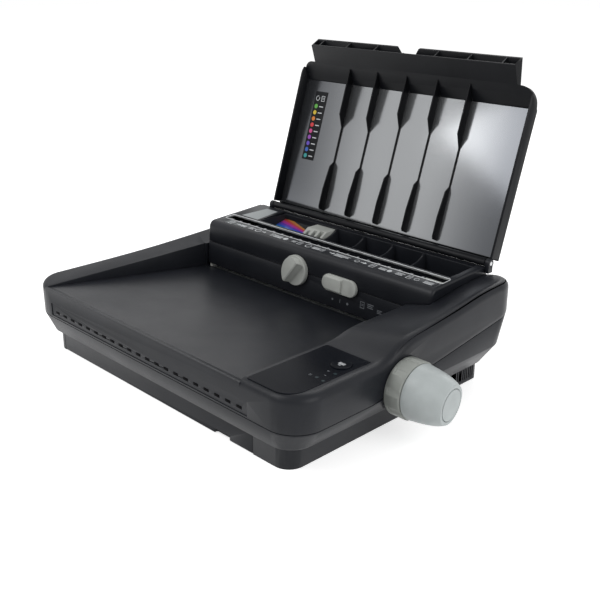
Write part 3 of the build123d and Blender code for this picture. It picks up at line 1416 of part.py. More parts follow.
# Lid, standing open: lengths run from the hinge, heights run into the lid
lid_x0 = housing_x0 + lid_left_reach
lid_x1 = housing_x1 + lid_right_reach
liner_n = -panel_offset
panel_n1 = liner_n - liner_thick
panel_n0 = panel_n1 - panel_skin
rim_n = liner_n + rim_height
lip_outer = (lip_outer_end, liner_n + lip_outer_height)
lip_inner = (lip_inner_end, liner_n + lip_inner_height)
fold_back = (fold_back_start, panel_n0)
fold_front = (fold_front_start, liner_n)
fold_slope = (lip_inner[1] - fold_front[1]) / (lip_inner[0] - fold_front[0])
rim_knee = (fold_front[0] + (rim_n - liner_n) / fold_slope, rim_n)
rib_x = [lid_x0 + 31.0 + 41.5 * index + 0.5 for index in range(7)]
rib_thick = 1.6


def inward(start, end, side):
    """Unit vector along a line and the one square to it, towards the other face of the skirt."""
    length = hypot(end[0] - start[0], end[1] - start[1])
    along = ((end[0] - start[0]) / length, (end[1] - start[1]) / length)
    return along, (-side * along[1], side * along[0])


back_along, back_square = inward(fold_back, lip_outer, 1)
front_along, front_square = inward(fold_front, lip_inner, -1)


def skirt_point(corner, along, square, depth):
    return (corner[0] + square[0] * lip_wall - along[0] * depth, corner[1] + square[1] * lip_wall - along[1] * depth)


skirt_hollow = [
    skirt_point(lip_outer, back_along, back_square, -6),
    skirt_point(lip_outer, back_along, back_square, lip_depth),
    skirt_point(lip_inner, front_along, front_square, lip_depth - 6),
    skirt_point(lip_inner, front_along, front_square, -6),
]
with BuildPart() as lid_shell:
    lid_profile([(lid_start, panel_n0), (fold_back[0] + 3, panel_n0), (fold_back[0] + 3, panel_n1),
                 (lid_start, panel_n1)], lid_x0, lid_x1)
    lid_profile([fold_back, lip_outer, lip_inner, fold_front], lid_x0, lid_x1)
    bays = [lid_x0 + lip_end_inset + rib_thick / 2] + rib_x + [lid_x1 - lip_end_inset - rib_thick / 2]
    for x0, x1 in zip(bays[:-1], bays[1:]):
        lid_profile(skirt_hollow, x0 + rib_thick / 2, x1 - rib_thick / 2, mode=Mode.SUBTRACT)
    for x0 in (lid_x0, lid_x1 - rim_thick):
        lid_profile([(rim_start, panel_n0), (rim_start, rim_n), rim_knee, lip_inner, lip_outer, fold_back],
                    x0, x0 + rim_thick)
    # Finger notch in the outer lip
    with BuildSketch(lid_plane.offset(liner_n + 6)) as notch:
        with BuildLine():
            Polyline((-10, lip_outer_end + 1), (-2, lip_outer_end - 8), (16, lip_outer_end - 8),
                     (22, lip_outer_end + 1), close=True)
        make_face()
    extrude(notch.sketch, amount=lip_inner_height, mode=Mode.SUBTRACT)
    # Rounded far corners, which end below the lip
    with BuildSketch(lid_plane.offset(panel_n0 - 1)) as outline:
        rounded_plan(lid_x0, lid_x1, 0, corner_end, 0.5, lid_corner)
        with Locations(((lid_x0 + lid_x1) / 2, (corner_end + lip_outer_end) / 2 - 5)):
            Rectangle(lid_x1 - lid_x0 - 2 * lip_end_inset, lip_outer_end - corner_end + 10)
    extrude(outline.sketch, amount=50, mode=Mode.INTERSECT)
lid_shell.part.label = "lid_shell"
export_step(lid_shell.part, "parts/lid_shell.step")

with BuildPart() as lid_liner:
    lid_profile([(rim_start + 0.3, panel_n1), (fold_back_start + 3, panel_n1), (fold_back_start + 3, liner_n),
                 (rim_start + 0.3, liner_n)], lid_x0 + rim_thick + 0.2, lid_x1 - rim_thick - 0.2)
lid_liner.part.label = "lid_liner"
export_step(lid_liner.part, "parts/lid_liner.step")

fin_x = [-75.0, -34.0, 8.0, 49.5, 91.0]
fin_tall_from = [105.0, 105.0, 115.0, 115.0, 105.0]
fin_thick = 1.6
fin_n = liner_n + 9.5
fin_low_n = liner_n + 1.4
with BuildPart() as lid_fins:
    for x, tall_from in zip(fin_x, fin_tall_from):
        lid_profile([(7.2, liner_n), (8.4, fin_n - 1.5), (11, fin_n), (32, fin_n), (59, fin_n - 3.2),
                     (64.5, fin_low_n), (tall_from, fin_low_n), (tall_from + 14, fin_n),
                     (fold_front[0] - 0.2 + 9.5 / fold_slope, fin_n), (fold_front[0] - 0.2, liner_n)],
                    x - fin_thick / 2, x + fin_thick / 2)
lid_fins.part.label = "lid_fins"
export_step(lid_fins.part, "parts/lid_fins.step")

with BuildPart() as lid_hinge_bar:
    rod_x(hinge_y, hinge_z, hinge_bar_radius, bar_x0, bar_x1)
    lid_profile([(-3.0, -1.5), (-1.0, panel_n0), (lid_start, panel_n0), (lid_start, panel_n1), (3.2, -1.5)],
                bar_x0, bar_x1)
    rod_x(hinge_y, hinge_z, hinge_pin_radius + running_fit, bar_x0 - 1, bar_x0 + hinge_pin_depth, mode=Mode.SUBTRACT)
    rod_x(hinge_y, hinge_z, hinge_pin_radius + running_fit, bar_x1 - hinge_pin_depth, bar_x1 + 1, mode=Mode.SUBTRACT)
lid_hinge_bar.part.label = "lid_hinge_bar"
export_step(lid_hinge_bar.part, "parts/lid_hinge_bar.step")

key_x0 = housing_x0 + 40.1
key_thick = 0.4
key_width = 19.0
with BuildPart() as comb_key:
    lid_profile([(61, liner_n), (142, liner_n), (142, liner_n + key_thick), (61, liner_n + key_thick)],
                key_x0, key_x0 + key_width)
comb_key.part.label = "comb_key"
export_step(comb_key.part, "parts/comb_key.step")
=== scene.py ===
"""Looks of an electric comb binding machine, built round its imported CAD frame."""

import json
import logging
import math
from dataclasses import dataclass
from enum import Enum
from typing import Any, Callable, Sequence

import bmesh
import bpy
from mathutils import Matrix, Vector

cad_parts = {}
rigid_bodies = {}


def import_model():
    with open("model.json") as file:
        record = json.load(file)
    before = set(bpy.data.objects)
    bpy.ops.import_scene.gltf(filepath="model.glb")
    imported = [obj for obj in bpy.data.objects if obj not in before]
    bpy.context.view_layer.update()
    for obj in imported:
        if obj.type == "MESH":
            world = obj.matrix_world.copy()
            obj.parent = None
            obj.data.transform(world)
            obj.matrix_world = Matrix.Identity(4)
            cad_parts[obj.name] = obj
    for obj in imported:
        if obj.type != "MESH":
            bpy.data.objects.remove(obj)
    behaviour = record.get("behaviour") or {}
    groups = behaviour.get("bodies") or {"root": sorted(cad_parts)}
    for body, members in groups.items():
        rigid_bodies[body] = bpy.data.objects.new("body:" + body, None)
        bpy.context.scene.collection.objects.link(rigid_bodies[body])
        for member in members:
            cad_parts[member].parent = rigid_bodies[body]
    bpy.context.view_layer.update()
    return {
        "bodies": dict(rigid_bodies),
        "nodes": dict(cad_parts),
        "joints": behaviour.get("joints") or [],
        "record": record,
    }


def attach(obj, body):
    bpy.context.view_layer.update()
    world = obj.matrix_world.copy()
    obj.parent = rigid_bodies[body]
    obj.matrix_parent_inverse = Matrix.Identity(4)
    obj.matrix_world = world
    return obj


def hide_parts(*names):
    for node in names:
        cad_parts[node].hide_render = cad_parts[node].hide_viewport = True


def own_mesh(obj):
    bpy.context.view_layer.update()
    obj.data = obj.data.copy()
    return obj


log = logging.getLogger("comb_binder")

MM = 0.001
WELD_M = 2e-6
SMOOTH_BELOW_DEG = 42.0
# Sockets of the Mix node when it mixes colours
MIX_SHARE, MIX_FIRST, MIX_SECOND, MIX_RESULT = 0, 6, 7, 2
# Cells per metre of the slow changes in plastic: mottled colour and smudged gloss
MOTTLE_CELLS = 38.0
SMUDGE_CELLS = 14.0
UNDER_PRINT = (0.02, 0.022, 0.026)

Point = tuple[float, float]
Size = tuple[float, float, float]
Colour = tuple[float, float, float]


class Value:
    """A node socket that Python's operators work on."""

    def __init__(self, tree: "Tree", socket: bpy.types.NodeSocket) -> None:
        """Keeps the socket and the tree that it belongs to."""
        self.tree = tree
        self.socket = socket

    def _math(self, operation: str, first: Any, second: Any = 0.0) -> "Value":
        """Adds one Math node."""
        return self.tree.node("ShaderNodeMath", {"operation": operation}, {0: first, 1: second})

    def __add__(self, other: Any) -> "Value":
        """Sum."""
        return self._math("ADD", self, other)

    def __sub__(self, other: Any) -> "Value":
        """Difference."""
        return self._math("SUBTRACT", self, other)

    def __rsub__(self, other: Any) -> "Value":
        """Difference with the number first."""
        return self._math("SUBTRACT", other, self)

    def __mul__(self, other: Any) -> "Value":
        """Product."""
        return self._math("MULTIPLY", self, other)

    def __truediv__(self, other: Any) -> "Value":
        """Quotient."""
        return self._math("DIVIDE", self, other)

    def __gt__(self, other: Any) -> "Value":
        """One where the value is larger, else zero."""
        return self._math("GREATER_THAN", self, other)

    def __lt__(self, other: Any) -> "Value":
        """One where the value is smaller, else zero."""
        return self._math("LESS_THAN", self, other)

    def __or__(self, other: Any) -> "Value":
        """The larger of two."""
        return self._math("MAXIMUM", self, other)

    def __abs__(self) -> "Value":
        """Size without sign."""
        return self._math("ABSOLUTE", self)

    def clamped(self) -> "Value":
        """The value held between zero and one."""
        return self.tree.node("ShaderNodeClamp", {}, {"Value": self})

    __radd__ = __add__
    __rmul__ = __mul__


class Tree:
    """Builds the nodes of a shader tree or a geometry tree."""

    def __init__(self, group: bpy.types.NodeTree) -> None:
        """Keeps the Blender node tree that is filled."""
        self.group = group

    def node(self, kind: str, settings: dict[str, Any], values: dict[Any, Any], output: Any = 0) -> Value:
        """Adds a node.

        Args:
            kind: Blender's type name of the node.
            settings: Its attributes, set before the sockets; "stops" fills a colour ramp.
            values: Socket names or numbers to a number, a colour, a Value or a data block.
            output: Name or number of the output that is returned.

        Returns:
            The chosen output, wrapped.
        """
        made = self.group.nodes.new(kind)
        for key, setting in settings.items():
            if key == "stops":
                self._fill_ramp(made.color_ramp, setting)
            elif key == "interpolation":
                made.color_ramp.interpolation = setting
            else:
                setattr(made, key, setting)
        for key, value in values.items():
            if isinstance(value, Value):
                self.group.links.new(value.socket, made.inputs[key])
            else:
                made.inputs[key].default_value = value
        return Value(self, made.outputs[output]) if len(made.outputs) else Value(self, None)

    @staticmethod
    def _fill_ramp(ramp: bpy.types.ColorRamp, stops: Sequence[tuple[float, Colour]]) -> None:
        """Gives a colour ramp its stops."""
        while len(ramp.elements) < len(stops):
            ramp.elements.new(1.0)
        for element, (place, colour) in zip(ramp.elements, stops):
            element.position = place
            element.color = (*colour, 1.0)


class Shader(Tree):
    """A material under construction."""

    def __init__(self, name: str) -> None:
        """Makes an empty material."""
        self.material = bpy.data.materials.new(name)
        self.material.use_nodes = True
        self.material.node_tree.nodes.clear()
        super().__init__(self.material.node_tree)
        self.coordinates = self.node("ShaderNodeTexCoord", {}, {}, "Object")

    def noise(self, scale: float, detail: float = 3.0, stretch: Size = (1.0, 1.0, 1.0),
              rough: float = 0.5) -> Value:
        """Noise on object coordinates.

        Args:
            scale: Cells per metre.
            detail: Octaves.
            stretch: Factor of the scale along each axis.
            rough: Share of the fine octaves.

        Returns:
            The noise, about 0.5 on average.
        """
        place = self.node("ShaderNodeMapping", {}, {"Vector": self.coordinates, "Scale": stretch})
        return self.node("ShaderNodeTexNoise", {}, {"Vector": place, "Scale": scale, "Detail": detail,
                                                    "Roughness": rough})

    def mix(self, share: Any, first: Any, second: Any) -> Value:
        """Mixes two colours."""
        def full(value: Any) -> Any:
            return value if isinstance(value, Value) else (*value, 1.0)
        values = {MIX_SHARE: share, MIX_FIRST: full(first), MIX_SECOND: full(second)}
        return self.node("ShaderNodeMix", {"data_type": "RGBA"}, values, MIX_RESULT)

    def place(self, axis: int) -> Value:
        """Object coordinate along one axis, in metres."""
        return self.node("ShaderNodeSeparateXYZ", {}, {0: self.coordinates}, axis)

    def ramp(self, share: Value, stops: Sequence[tuple[float, Colour]], kind: str = "CONSTANT") -> Value:
        """Colour picked from stops by a share, which is held between zero and one."""
        return self.node("ShaderNodeValToRGB", {"stops": stops, "interpolation": kind}, {0: share.clamped()})

    def bump(self, height: Value, distance: float) -> Value:
        """Normal that follows a height in metres times distance."""
        return self.node("ShaderNodeBump", {}, {"Height": height, "Distance": distance, "Strength": 1.0})

    def finish(self, **sockets: Any) -> bpy.types.Material:
        """Adds the Principled shader and the output.

        Args:
            **sockets: Socket names with underscores for spaces.

        Returns:
            The finished material.
        """
        values = {key.replace("_", " "): value for key, value in sockets.items()}
        surface = self.node("ShaderNodeBsdfPrincipled", {}, values)
        self.node("ShaderNodeOutputMaterial", {}, {"Surface": surface})
        return self.material


def even_stops(colours: Sequence[Colour]) -> list[tuple[float, Colour]]:
    """Stops of a ramp that gives every colour the same share."""
    return [(index / len(colours), colour) for index, colour in enumerate(colours)]


@dataclass(frozen=True)
class Moulded:
    """Injection moulded plastic with a fine spark-eroded grain."""

    name: str
    colour: Colour
    roughness: float = 0.42
    grain: float = 1500.0
    depth: float = 0.00006
    specular: float = 0.4
    coat: float = 0.0

    def material(self) -> bpy.types.Material:
        """Grain, faint mottling and soft smudges in the gloss."""
        made = Shader(self.name)
        grain = made.noise(self.grain, 2.0)
        mottle = made.noise(MOTTLE_CELLS, 4.0)
        smudge = made.noise(SMUDGE_CELLS, 5.0, rough=0.6)
        lighter = tuple(min(1.0, c * 1.22 + 0.002) for c in self.colour)
        darker = tuple(c * 0.84 for c in self.colour)
        colour = made.mix((mottle * 1.6 - 0.3).clamped(), darker, lighter)
        rough = (smudge - 0.5) * 0.22 + (grain - 0.5) * 0.1 + self.roughness
        return made.finish(Base_Color=colour, Roughness=rough.clamped(), Specular_IOR_Level=self.specular,
                           Coat_Weight=self.coat, Coat_Roughness=0.08, Normal=made.bump(grain, self.depth))


@dataclass(frozen=True)
class PaintedSheen:
    """Glossy silver-grey plastic with painted light: a painted lit middle of its length, lighter than its
    painted shaded ends.
    """

    name: str
    shaded_end_colour: Colour
    lit_middle_colour: Colour
    low: float
    high: float
    roughness: float

    def material(self) -> bpy.types.Material:
        """Colour by the place along X, a painted highlight in the middle and painted shade at the ends, with
        soft smudges in the gloss.
        """
        made = Shader(self.name)
        share = (made.place(0) - self.low * MM) / ((self.high - self.low) * MM)
        # Painted light: lit middle and shaded ends of the liner
        stops = [(0.0, self.shaded_end_colour), (0.45, self.lit_middle_colour), (0.62, self.lit_middle_colour),
                 (1.0, self.shaded_end_colour)]
        colour = made.ramp(share, stops, "EASE")
        grain = made.noise(1700.0, 2.0)
        rough = (made.noise(SMUDGE_CELLS, 5.0, rough=0.6) - 0.5) * 0.16 + self.roughness
        return made.finish(Base_Color=colour, Roughness=rough.clamped(), Metallic=0.8, Specular_IOR_Level=0.5,
                           Normal=made.bump(grain, 0.00001))


@dataclass(frozen=True)
class Metal:
    """Steel or brass with fine drawn lines along one axis."""

    name: str
    colour: Colour
    roughness: float = 0.3
    along: Size = (0.02, 1.0, 1.0)

    def material(self) -> bpy.types.Material:
        """Brushed lines in the gloss and a faint tarnish."""
        made = Shader(self.name)
        lines = made.noise(2600.0, 2.0, self.along)
        tarnish = made.noise(60.0, 4.0)
        dull = tuple(c * 0.72 for c in self.colour)
        colour = made.mix((tarnish * 1.5 - 0.35).clamped(), self.colour, dull)
        rough = (lines - 0.5) * 0.3 + self.roughness
        return made.finish(Base_Color=colour, Metallic=1.0, Roughness=rough.clamped(),
                           Normal=made.bump(lines, 0.00002))


@dataclass(frozen=True)
class Print:
    """Ink printed on plastic, slightly worn."""

    name: str
    colour: Colour
    under: Colour = UNDER_PRINT

    def material(self) -> bpy.types.Material:
        """Flat ink with pinholes where the plastic shows."""
        made = Shader(self.name)
        holes = made.noise(2200.0, 3.0) > 0.68
        return made.finish(Base_Color=made.mix(holes, self.colour, self.under), Roughness=0.5)


@dataclass(frozen=True)
class Fan:
    """Coloured stripes that run together at one point, printed on a glossy plate."""

    name: str
    meeting: Point
    spread: float
    colours: tuple[Colour, ...]
    margin: float = 4.0

    def material(self) -> bpy.types.Material:
        """Picks the stripe by the slope of the line to the meeting point."""
        made = Shader(self.name)
        across = made.place(1) - self.meeting[1] * MM
        along = self.meeting[0] * MM - made.place(0)
        share = across / (along | 1.0 * MM) / (2 * self.spread) + 0.5
        bare = (abs(share - 0.5) > 0.5) | (along < self.margin * MM)
        colour = made.mix(bare, made.ramp(share, even_stops(self.colours)), UNDER_PRINT)
        rough = made.noise(60.0, 3.0) * 0.14 + 0.16
        return made.finish(Base_Color=colour, Roughness=rough, Coat_Weight=0.5, Coat_Roughness=0.08)


@dataclass(frozen=True)
class Bands:
    """Plain colours that change in steps along Z."""

    name: str
    low: float
    high: float
    colours: tuple[Colour, ...]

    def material(self) -> bpy.types.Material:
        """Picks the colour by height."""
        made = Shader(self.name)
        share = (made.place(2) - self.low * MM) / ((self.high - self.low) * MM)
        colour = made.ramp(share, even_stops(self.colours))
        rough = made.noise(900.0, 2.0) * 0.1 + 0.3
        return made.finish(Base_Color=colour, Roughness=rough)


class Finish(Enum):
    """Every finish on the machine."""

    BODY = Moulded("body_plastic", (0.0098, 0.011, 0.0145), 0.36, specular=0.2)
    LID = Moulded("lid_plastic", (0.0062, 0.0068, 0.0085), 0.34, 1900.0, 0.00003, specular=0.12)
    FIN = Moulded("fin_plastic", (0.004, 0.0044, 0.0055), 0.36, 1900.0, 0.00003, specular=0.1)
    # The liner's lighter middle and darker ends are painted light
    LINER = PaintedSheen("liner_plastic", (0.105, 0.11, 0.12), (0.36, 0.37, 0.38), -146.0, 164.0, 0.17)
    CONSOLE = Moulded("console_gloss", (0.0025, 0.0035, 0.0065), 0.22, 2500.0, 0.000005, specular=0.05)
    PALE = Moulded("pale_plastic", (0.42, 0.435, 0.41), 0.42, 1700.0, 0.00004, specular=0.4)
    GRIP = Moulded("grip_plastic", (0.42, 0.455, 0.455), 0.38, 1700.0, 0.00004, specular=0.42)
    COLLAR = Moulded("collar_plastic", (0.29, 0.305, 0.285), 0.45, 1700.0, 0.00005, specular=0.35)
    BLACK = Moulded("black_plastic", (0.0015, 0.0015, 0.002), 0.6, 1500.0, 0.00005, specular=0.03)
    NYLON = Moulded("nylon", (0.6, 0.59, 0.54), 0.4, 1200.0, 0.00004)
    RUBBER = Moulded("rubber", (0.012, 0.012, 0.012), 0.85, 800.0, 0.00012, specular=0.2)
    BOARD = Moulded("board_green", (0.02, 0.11, 0.05), 0.35, 900.0, 0.00004)
    LENS = Moulded("lamp_lens", (0.02, 0.035, 0.04), 0.15, 900.0, 0.00001, coat=0.3)
    STEEL = Metal("steel", (0.62, 0.63, 0.65), 0.26)
    PIN_STEEL = Metal("pin_steel", (0.5, 0.51, 0.53), 0.34, (1.0, 1.0, 0.02))
    DARK_STEEL = Moulded("dark_steel", (0.03, 0.031, 0.034), 0.5, 900.0, 0.00008, specular=0.5)
    BRASS = Metal("brass", (0.72, 0.52, 0.24), 0.3)
    WHITE = Print("white_print", (0.62, 0.64, 0.66))
    FAINT = Print("faint_print", (0.15, 0.16, 0.175))
    PLATE = Print("plate_print", (0.3, 0.325, 0.33), (0.2, 0.21, 0.22))
    GAUGE = Fan("gauge_stripes", (-44.0, 121.0), 0.32, (
        (0.03, 0.033, 0.036), (0.03, 0.033, 0.036), (0.03, 0.033, 0.036), (0.02, 0.18, 0.12),
        (0.01, 0.26, 0.2), (0.0, 0.32, 0.3), (0.01, 0.24, 0.5), (0.03, 0.09, 0.5),
        (0.12, 0.04, 0.42), (0.42, 0.03, 0.3), (0.52, 0.06, 0.06), (0.5, 0.2, 0.04)))
    KEY_DOTS = Bands("key_dots", 164.4, 227.6, (
        (0.02, 0.3, 0.3), (0.03, 0.12, 0.5), (0.12, 0.06, 0.5), (0.3, 0.06, 0.45), (0.6, 0.06, 0.25),
        (0.65, 0.03, 0.04), (0.7, 0.2, 0.02), (0.7, 0.5, 0.03), (0.1, 0.4, 0.05)))

    @property
    def material(self) -> bpy.types.Material:
        """The Blender material, made on first use."""
        return bpy.data.materials.get(self.value.name) or self.value.material()


@dataclass(frozen=True)
class Sheet:
    """A flat place on the machine, in metres: origin, direction of x and direction of y."""

    origin: Vector
    x: Vector
    y: Vector

    def at(self, u: float, v: float, w: float = 0.0) -> Vector:
        """Point u, v along the sheet and w off it, given in millimetres."""
        return self.origin + (self.x * u + self.y * v + self.x.cross(self.y) * w) * MM


def tilted(y: float, z: float, lean: float, toward_top: bool = True) -> Sheet:
    """Sheet with x along the machine, through y and z in millimetres.

    Args:
        y: Depth of its origin.
        z: Height of its origin.
        lean: Degrees by which its y axis leans, from upright if toward_top, else from level.
        toward_top: Whether its y axis points up rather than to the rear.

    Returns:
        The sheet, its face to the front or upwards.
    """
    short, long = math.sin(math.radians(lean)), math.cos(math.radians(lean))
    up = Vector((0, short, long)) if toward_top else Vector((0, long, short))
    return Sheet(Vector((0, y, z)) * MM, Vector((1, 0, 0)), up)


TOP_LEAN_DEG = 3.45
LID_LEAN_DEG = 17.8
WALL = tilted(58.0, 46.0, 4.68)
TOP = tilted(69.0, 101.3, TOP_LEAN_DEG, False)
LID = tilted(148.6, 108.2, LID_LEAN_DEG)
CONSOLE = tilted(0.0, 74.8, 0.0, False)
BUTTON_FACE = tilted(0.0, 75.8, 0.0, False)


def to_object(name: str, shape: bmesh.types.BMesh, finish: Finish, body: str,
              smooth: bool = True) -> bpy.types.Object:
    """Turns a bmesh into a piece that rides on a body."""
    bmesh.ops.recalc_face_normals(shape, faces=shape.faces)
    mesh = bpy.data.meshes.new(name)
    shape.to_mesh(mesh)
    shape.free()
    return placed(name, mesh, finish, body, smooth)


def placed(name: str, mesh: bpy.types.Mesh, finish: Finish, body: str,
           smooth: bool = True) -> bpy.types.Object:
    """Gives a mesh an object, a finish and a body to ride on."""
    if smooth:
        mesh.shade_smooth()
        mesh.set_sharp_from_angle(angle=math.radians(SMOOTH_BELOW_DEG))
    mesh.materials.clear()
    mesh.materials.append(finish.material)
    piece = bpy.data.objects.new(name, mesh)
    bpy.context.scene.collection.objects.link(piece)
    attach(piece, body)
    return piece


def baked(piece: bpy.types.Object) -> bpy.types.Mesh:
    """Evaluates an object's modifiers into a plain mesh and takes the object away."""
    bpy.context.view_layer.update()
    graph = bpy.context.evaluated_depsgraph_get()
    mesh = bpy.data.meshes.new_from_object(piece.evaluated_get(graph))
    bpy.data.objects.remove(piece)
    return mesh


class Machine:
    """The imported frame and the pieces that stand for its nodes."""

    def __init__(self, frame: dict[str, Any]) -> None:
        """Keeps the frame and finds each node's body and slot."""
        self.nodes = frame["nodes"]
        record = frame["record"]
        bodies = record["behaviour"]["bodies"]
        self.body = {node: body for body, members in bodies.items() for node in members}
        self.slot = {part["node"]: part["material_slot"] for part in record["subparts"]}

    def coat(self, finish: Finish, *names: str) -> None:
        """Gives CAD nodes that stay as they are their finish."""
        for name in names:
            data = self.nodes[name].data
            data.materials.clear()
            data.materials.append(finish.material)

    def soften(self, name: str, finish: Finish, width: float, segments: int = 2, angle: float = 30.0,
               flat: float = 0.4, spared: Callable[[Vector], bool] | None = None) -> bpy.types.Object:
        """Replaces a node by a copy of itself with rounded edges.

        Args:
            name: Node that is copied and replaced.
            finish: Its finish.
            width: Width of the rounding in millimetres.
            segments: Rows of faces in the rounding.
            angle: Edges sharper than this many degrees are rounded.
            flat: Faces within this many degrees are joined first.
            spared: Tells for a point, in millimetres, whether edges there stay sharp.

        Returns:
            The piece.
        """
        shape = bmesh.new()
        shape.from_mesh(self.nodes[name].data)
        bmesh.ops.remove_doubles(shape, verts=shape.verts, dist=WELD_M)
        bmesh.ops.dissolve_degenerate(shape, edges=shape.edges, dist=WELD_M)
        bmesh.ops.dissolve_limit(shape, angle_limit=math.radians(flat), verts=shape.verts, edges=shape.edges)
        weight = shape.edges.layers.float.new("bevel_weight_edge")
        for edge in shape.edges:
            is_sharp = len(edge.link_faces) == 2 and edge.calc_face_angle(0.0) > math.radians(angle)
            if is_sharp and not (spared and all(spared(vert.co / MM) for vert in edge.verts)):
                edge[weight] = 1.0
        mesh = bpy.data.meshes.new(name + "_soft")
        shape.to_mesh(mesh)
        shape.free()
        mesh.shade_smooth()
        raw = bpy.data.objects.new(name + "_raw", mesh)
        bpy.context.scene.collection.objects.link(raw)
        bevel = raw.modifiers.new("rounding", "BEVEL")
        bevel.width = width * MM
        bevel.segments = segments
        bevel.limit_method = "WEIGHT"
        bevel.harden_normals = True
        bevel.use_clamp_overlap = True
        bevel.miter_outer = "MITER_ARC"
        piece = placed(name + "_shell", baked(raw), finish, self.body[name], smooth=False)
        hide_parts(name)
        return piece


class Row:
    """Geometry tree that repeats one small shape along a line."""

    SOCKETS = {"Count": "NodeSocketInt", "Start": "NodeSocketVector", "Step": "NodeSocketVector",
               "Size": "NodeSocketVector", "Turn": "NodeSocketVector", "Round": "NodeSocketBool",
               "Finish": "NodeSocketMaterial"}
    DISC_SIDES = 20

    def __init__(self) -> None:
        """Builds the tree once, with named inputs for its sizes."""
        self.group = bpy.data.node_groups.new("row_along_line", "GeometryNodeTree")
        face = self.group.interface
        self.keys = {label: face.new_socket(label, in_out="INPUT", socket_type=kind).identifier
                     for label, kind in self.SOCKETS.items()}
        face.new_socket("Geometry", in_out="OUTPUT", socket_type="NodeSocketGeometry")
        tree = Tree(self.group)
        inputs = tree.node("NodeGroupInput", {}, {}).socket.node
        wanted = {socket.name: Value(tree, socket) for socket in inputs.outputs if socket.name}
        line = tree.node("GeometryNodeMeshLine", {"mode": "OFFSET"}, {
            "Count": wanted["Count"], "Start Location": wanted["Start"], "Offset": wanted["Step"]})
        cube = tree.node("GeometryNodeMeshCube", {}, {"Size": (1.0, 1.0, 1.0)})
        disc = tree.node("GeometryNodeMeshCylinder", {}, {
            "Vertices": self.DISC_SIDES, "Radius": 0.5, "Depth": 1.0})
        shape = tree.node("GeometryNodeSwitch", {"input_type": "GEOMETRY"},
                          {"Switch": wanted["Round"], "False": cube, "True": disc})
        copies = tree.node("GeometryNodeInstanceOnPoints", {}, {
            "Points": line, "Instance": shape, "Rotation": wanted["Turn"], "Scale": wanted["Size"]})
        solid = tree.node("GeometryNodeRealizeInstances", {}, {"Geometry": copies})
        coated = tree.node("GeometryNodeSetMaterial", {}, {"Geometry": solid, "Material": wanted["Finish"]})
        tree.node("NodeGroupOutput", {}, {"Geometry": coated})

    def make(self, name: str, body: str, finish: Finish, count: int, start: Vector, step: Vector,
             size: Sequence[float], turn: Sequence[float] = (0.0, 0.0, 0.0), is_round: bool = False,
             bevel: float = 0.0) -> bpy.types.Object:
        """Makes one row.

        Args:
            name: Name of the piece.
            body: Body that it rides on.
            finish: Its finish.
            count: Number of copies.
            start: Place of the first, in metres.
            step: From one copy to the next, in metres.
            size: Size of a copy, in millimetres.
            turn: Rotation of a copy, in radians.
            is_round: Whether a copy is a disc instead of a block.
            bevel: Width of a copy's rounded edges, in millimetres.

        Returns:
            The piece.
        """
        holder = bpy.data.objects.new(name + "_row", bpy.data.meshes.new(name))
        bpy.context.scene.collection.objects.link(holder)
        modifier = holder.modifiers.new("row", "NODES")
        modifier.node_group = self.group
        values = {"Count": count, "Start": tuple(start), "Step": tuple(step),
                  "Size": tuple(side * MM for side in size), "Turn": tuple(turn), "Round": is_round,
                  "Finish": finish.material}
        for label, value in values.items():
            modifier[self.keys[label]] = value
        if bevel:
            rounding = holder.modifiers.new("rounding", "BEVEL")
            rounding.width = bevel * MM
            rounding.segments = 2
        return placed(name, baked(holder), finish, body)


class Glyph(Enum):
    """Generic pictograms that stand where instructions are printed."""

    PAGE = "page"
    ARROW = "arrow"
    TICKS = "ticks"
    DOT = "dot"
    BARS = "bars"
    RING = "ring"
    LOOP = "loop"
    LINE = "line"


Mark = tuple[Glyph, float, float, float]


def rectangle(x0: float, x1: float, y0: float, y1: float) -> list[Point]:
    """Corners of a rectangle."""
    return [(x0, y0), (x1, y0), (x1, y1), (x0, y1)]


def arc(radius: float, start: float, end: float, count: int) -> list[Point]:
    """Points round a circle, angles in degrees."""
    angles = [math.radians(start + (end - start) * step / (count - 1)) for step in range(count)]
    return [(radius * math.cos(angle), radius * math.sin(angle)) for angle in angles]


def glyph_outlines(kind: Glyph) -> list[list[Point]]:
    """Closed outlines of a pictogram, one unit high."""
    if kind is Glyph.PAGE:
        line = 0.09
        return [rectangle(-0.4, 0.4, -0.5, line - 0.5), rectangle(-0.4, 0.4, 0.5 - line, 0.5),
                rectangle(-0.4, line - 0.4, line - 0.5, 0.5 - line),
                rectangle(0.4 - line, 0.4, line - 0.5, 0.5 - line),
                rectangle(-0.2, 0.2, 0.1, 0.17), rectangle(-0.2, 0.2, -0.1, -0.03)]
    if kind is Glyph.ARROW:
        return [[(-0.5, -0.09), (0.05, -0.09), (0.05, -0.32), (0.5, 0.0), (0.05, 0.32), (0.05, 0.09),
                 (-0.5, 0.09)]]
    if kind is Glyph.TICKS:
        return [rectangle(-0.75, 0.75, -0.4, -0.28)] + [
            rectangle(-0.72 + 0.22 * index, -0.6 + 0.22 * index, -0.28, 0.35) for index in range(7)]
    if kind is Glyph.DOT:
        return [arc(0.42, 0, 337.5, 16)]
    if kind is Glyph.BARS:
        return [rectangle(-0.6, 0.6, 0.22, 0.34), rectangle(-0.6, 0.35, -0.04, 0.08),
                rectangle(-0.6, 0.5, -0.3, -0.18)]
    if kind is Glyph.LINE:
        return [rectangle(-0.07, 0.07, -0.5, 0.5)]
    start, end, points = 60, 420 if kind is Glyph.LOOP else 390, 22
    outer = arc(0.5, start, end, points)
    inner = arc(0.38, start, end, points)
    return [[outer[i], outer[i + 1], inner[i + 1], inner[i]] for i in range(points - 1)]


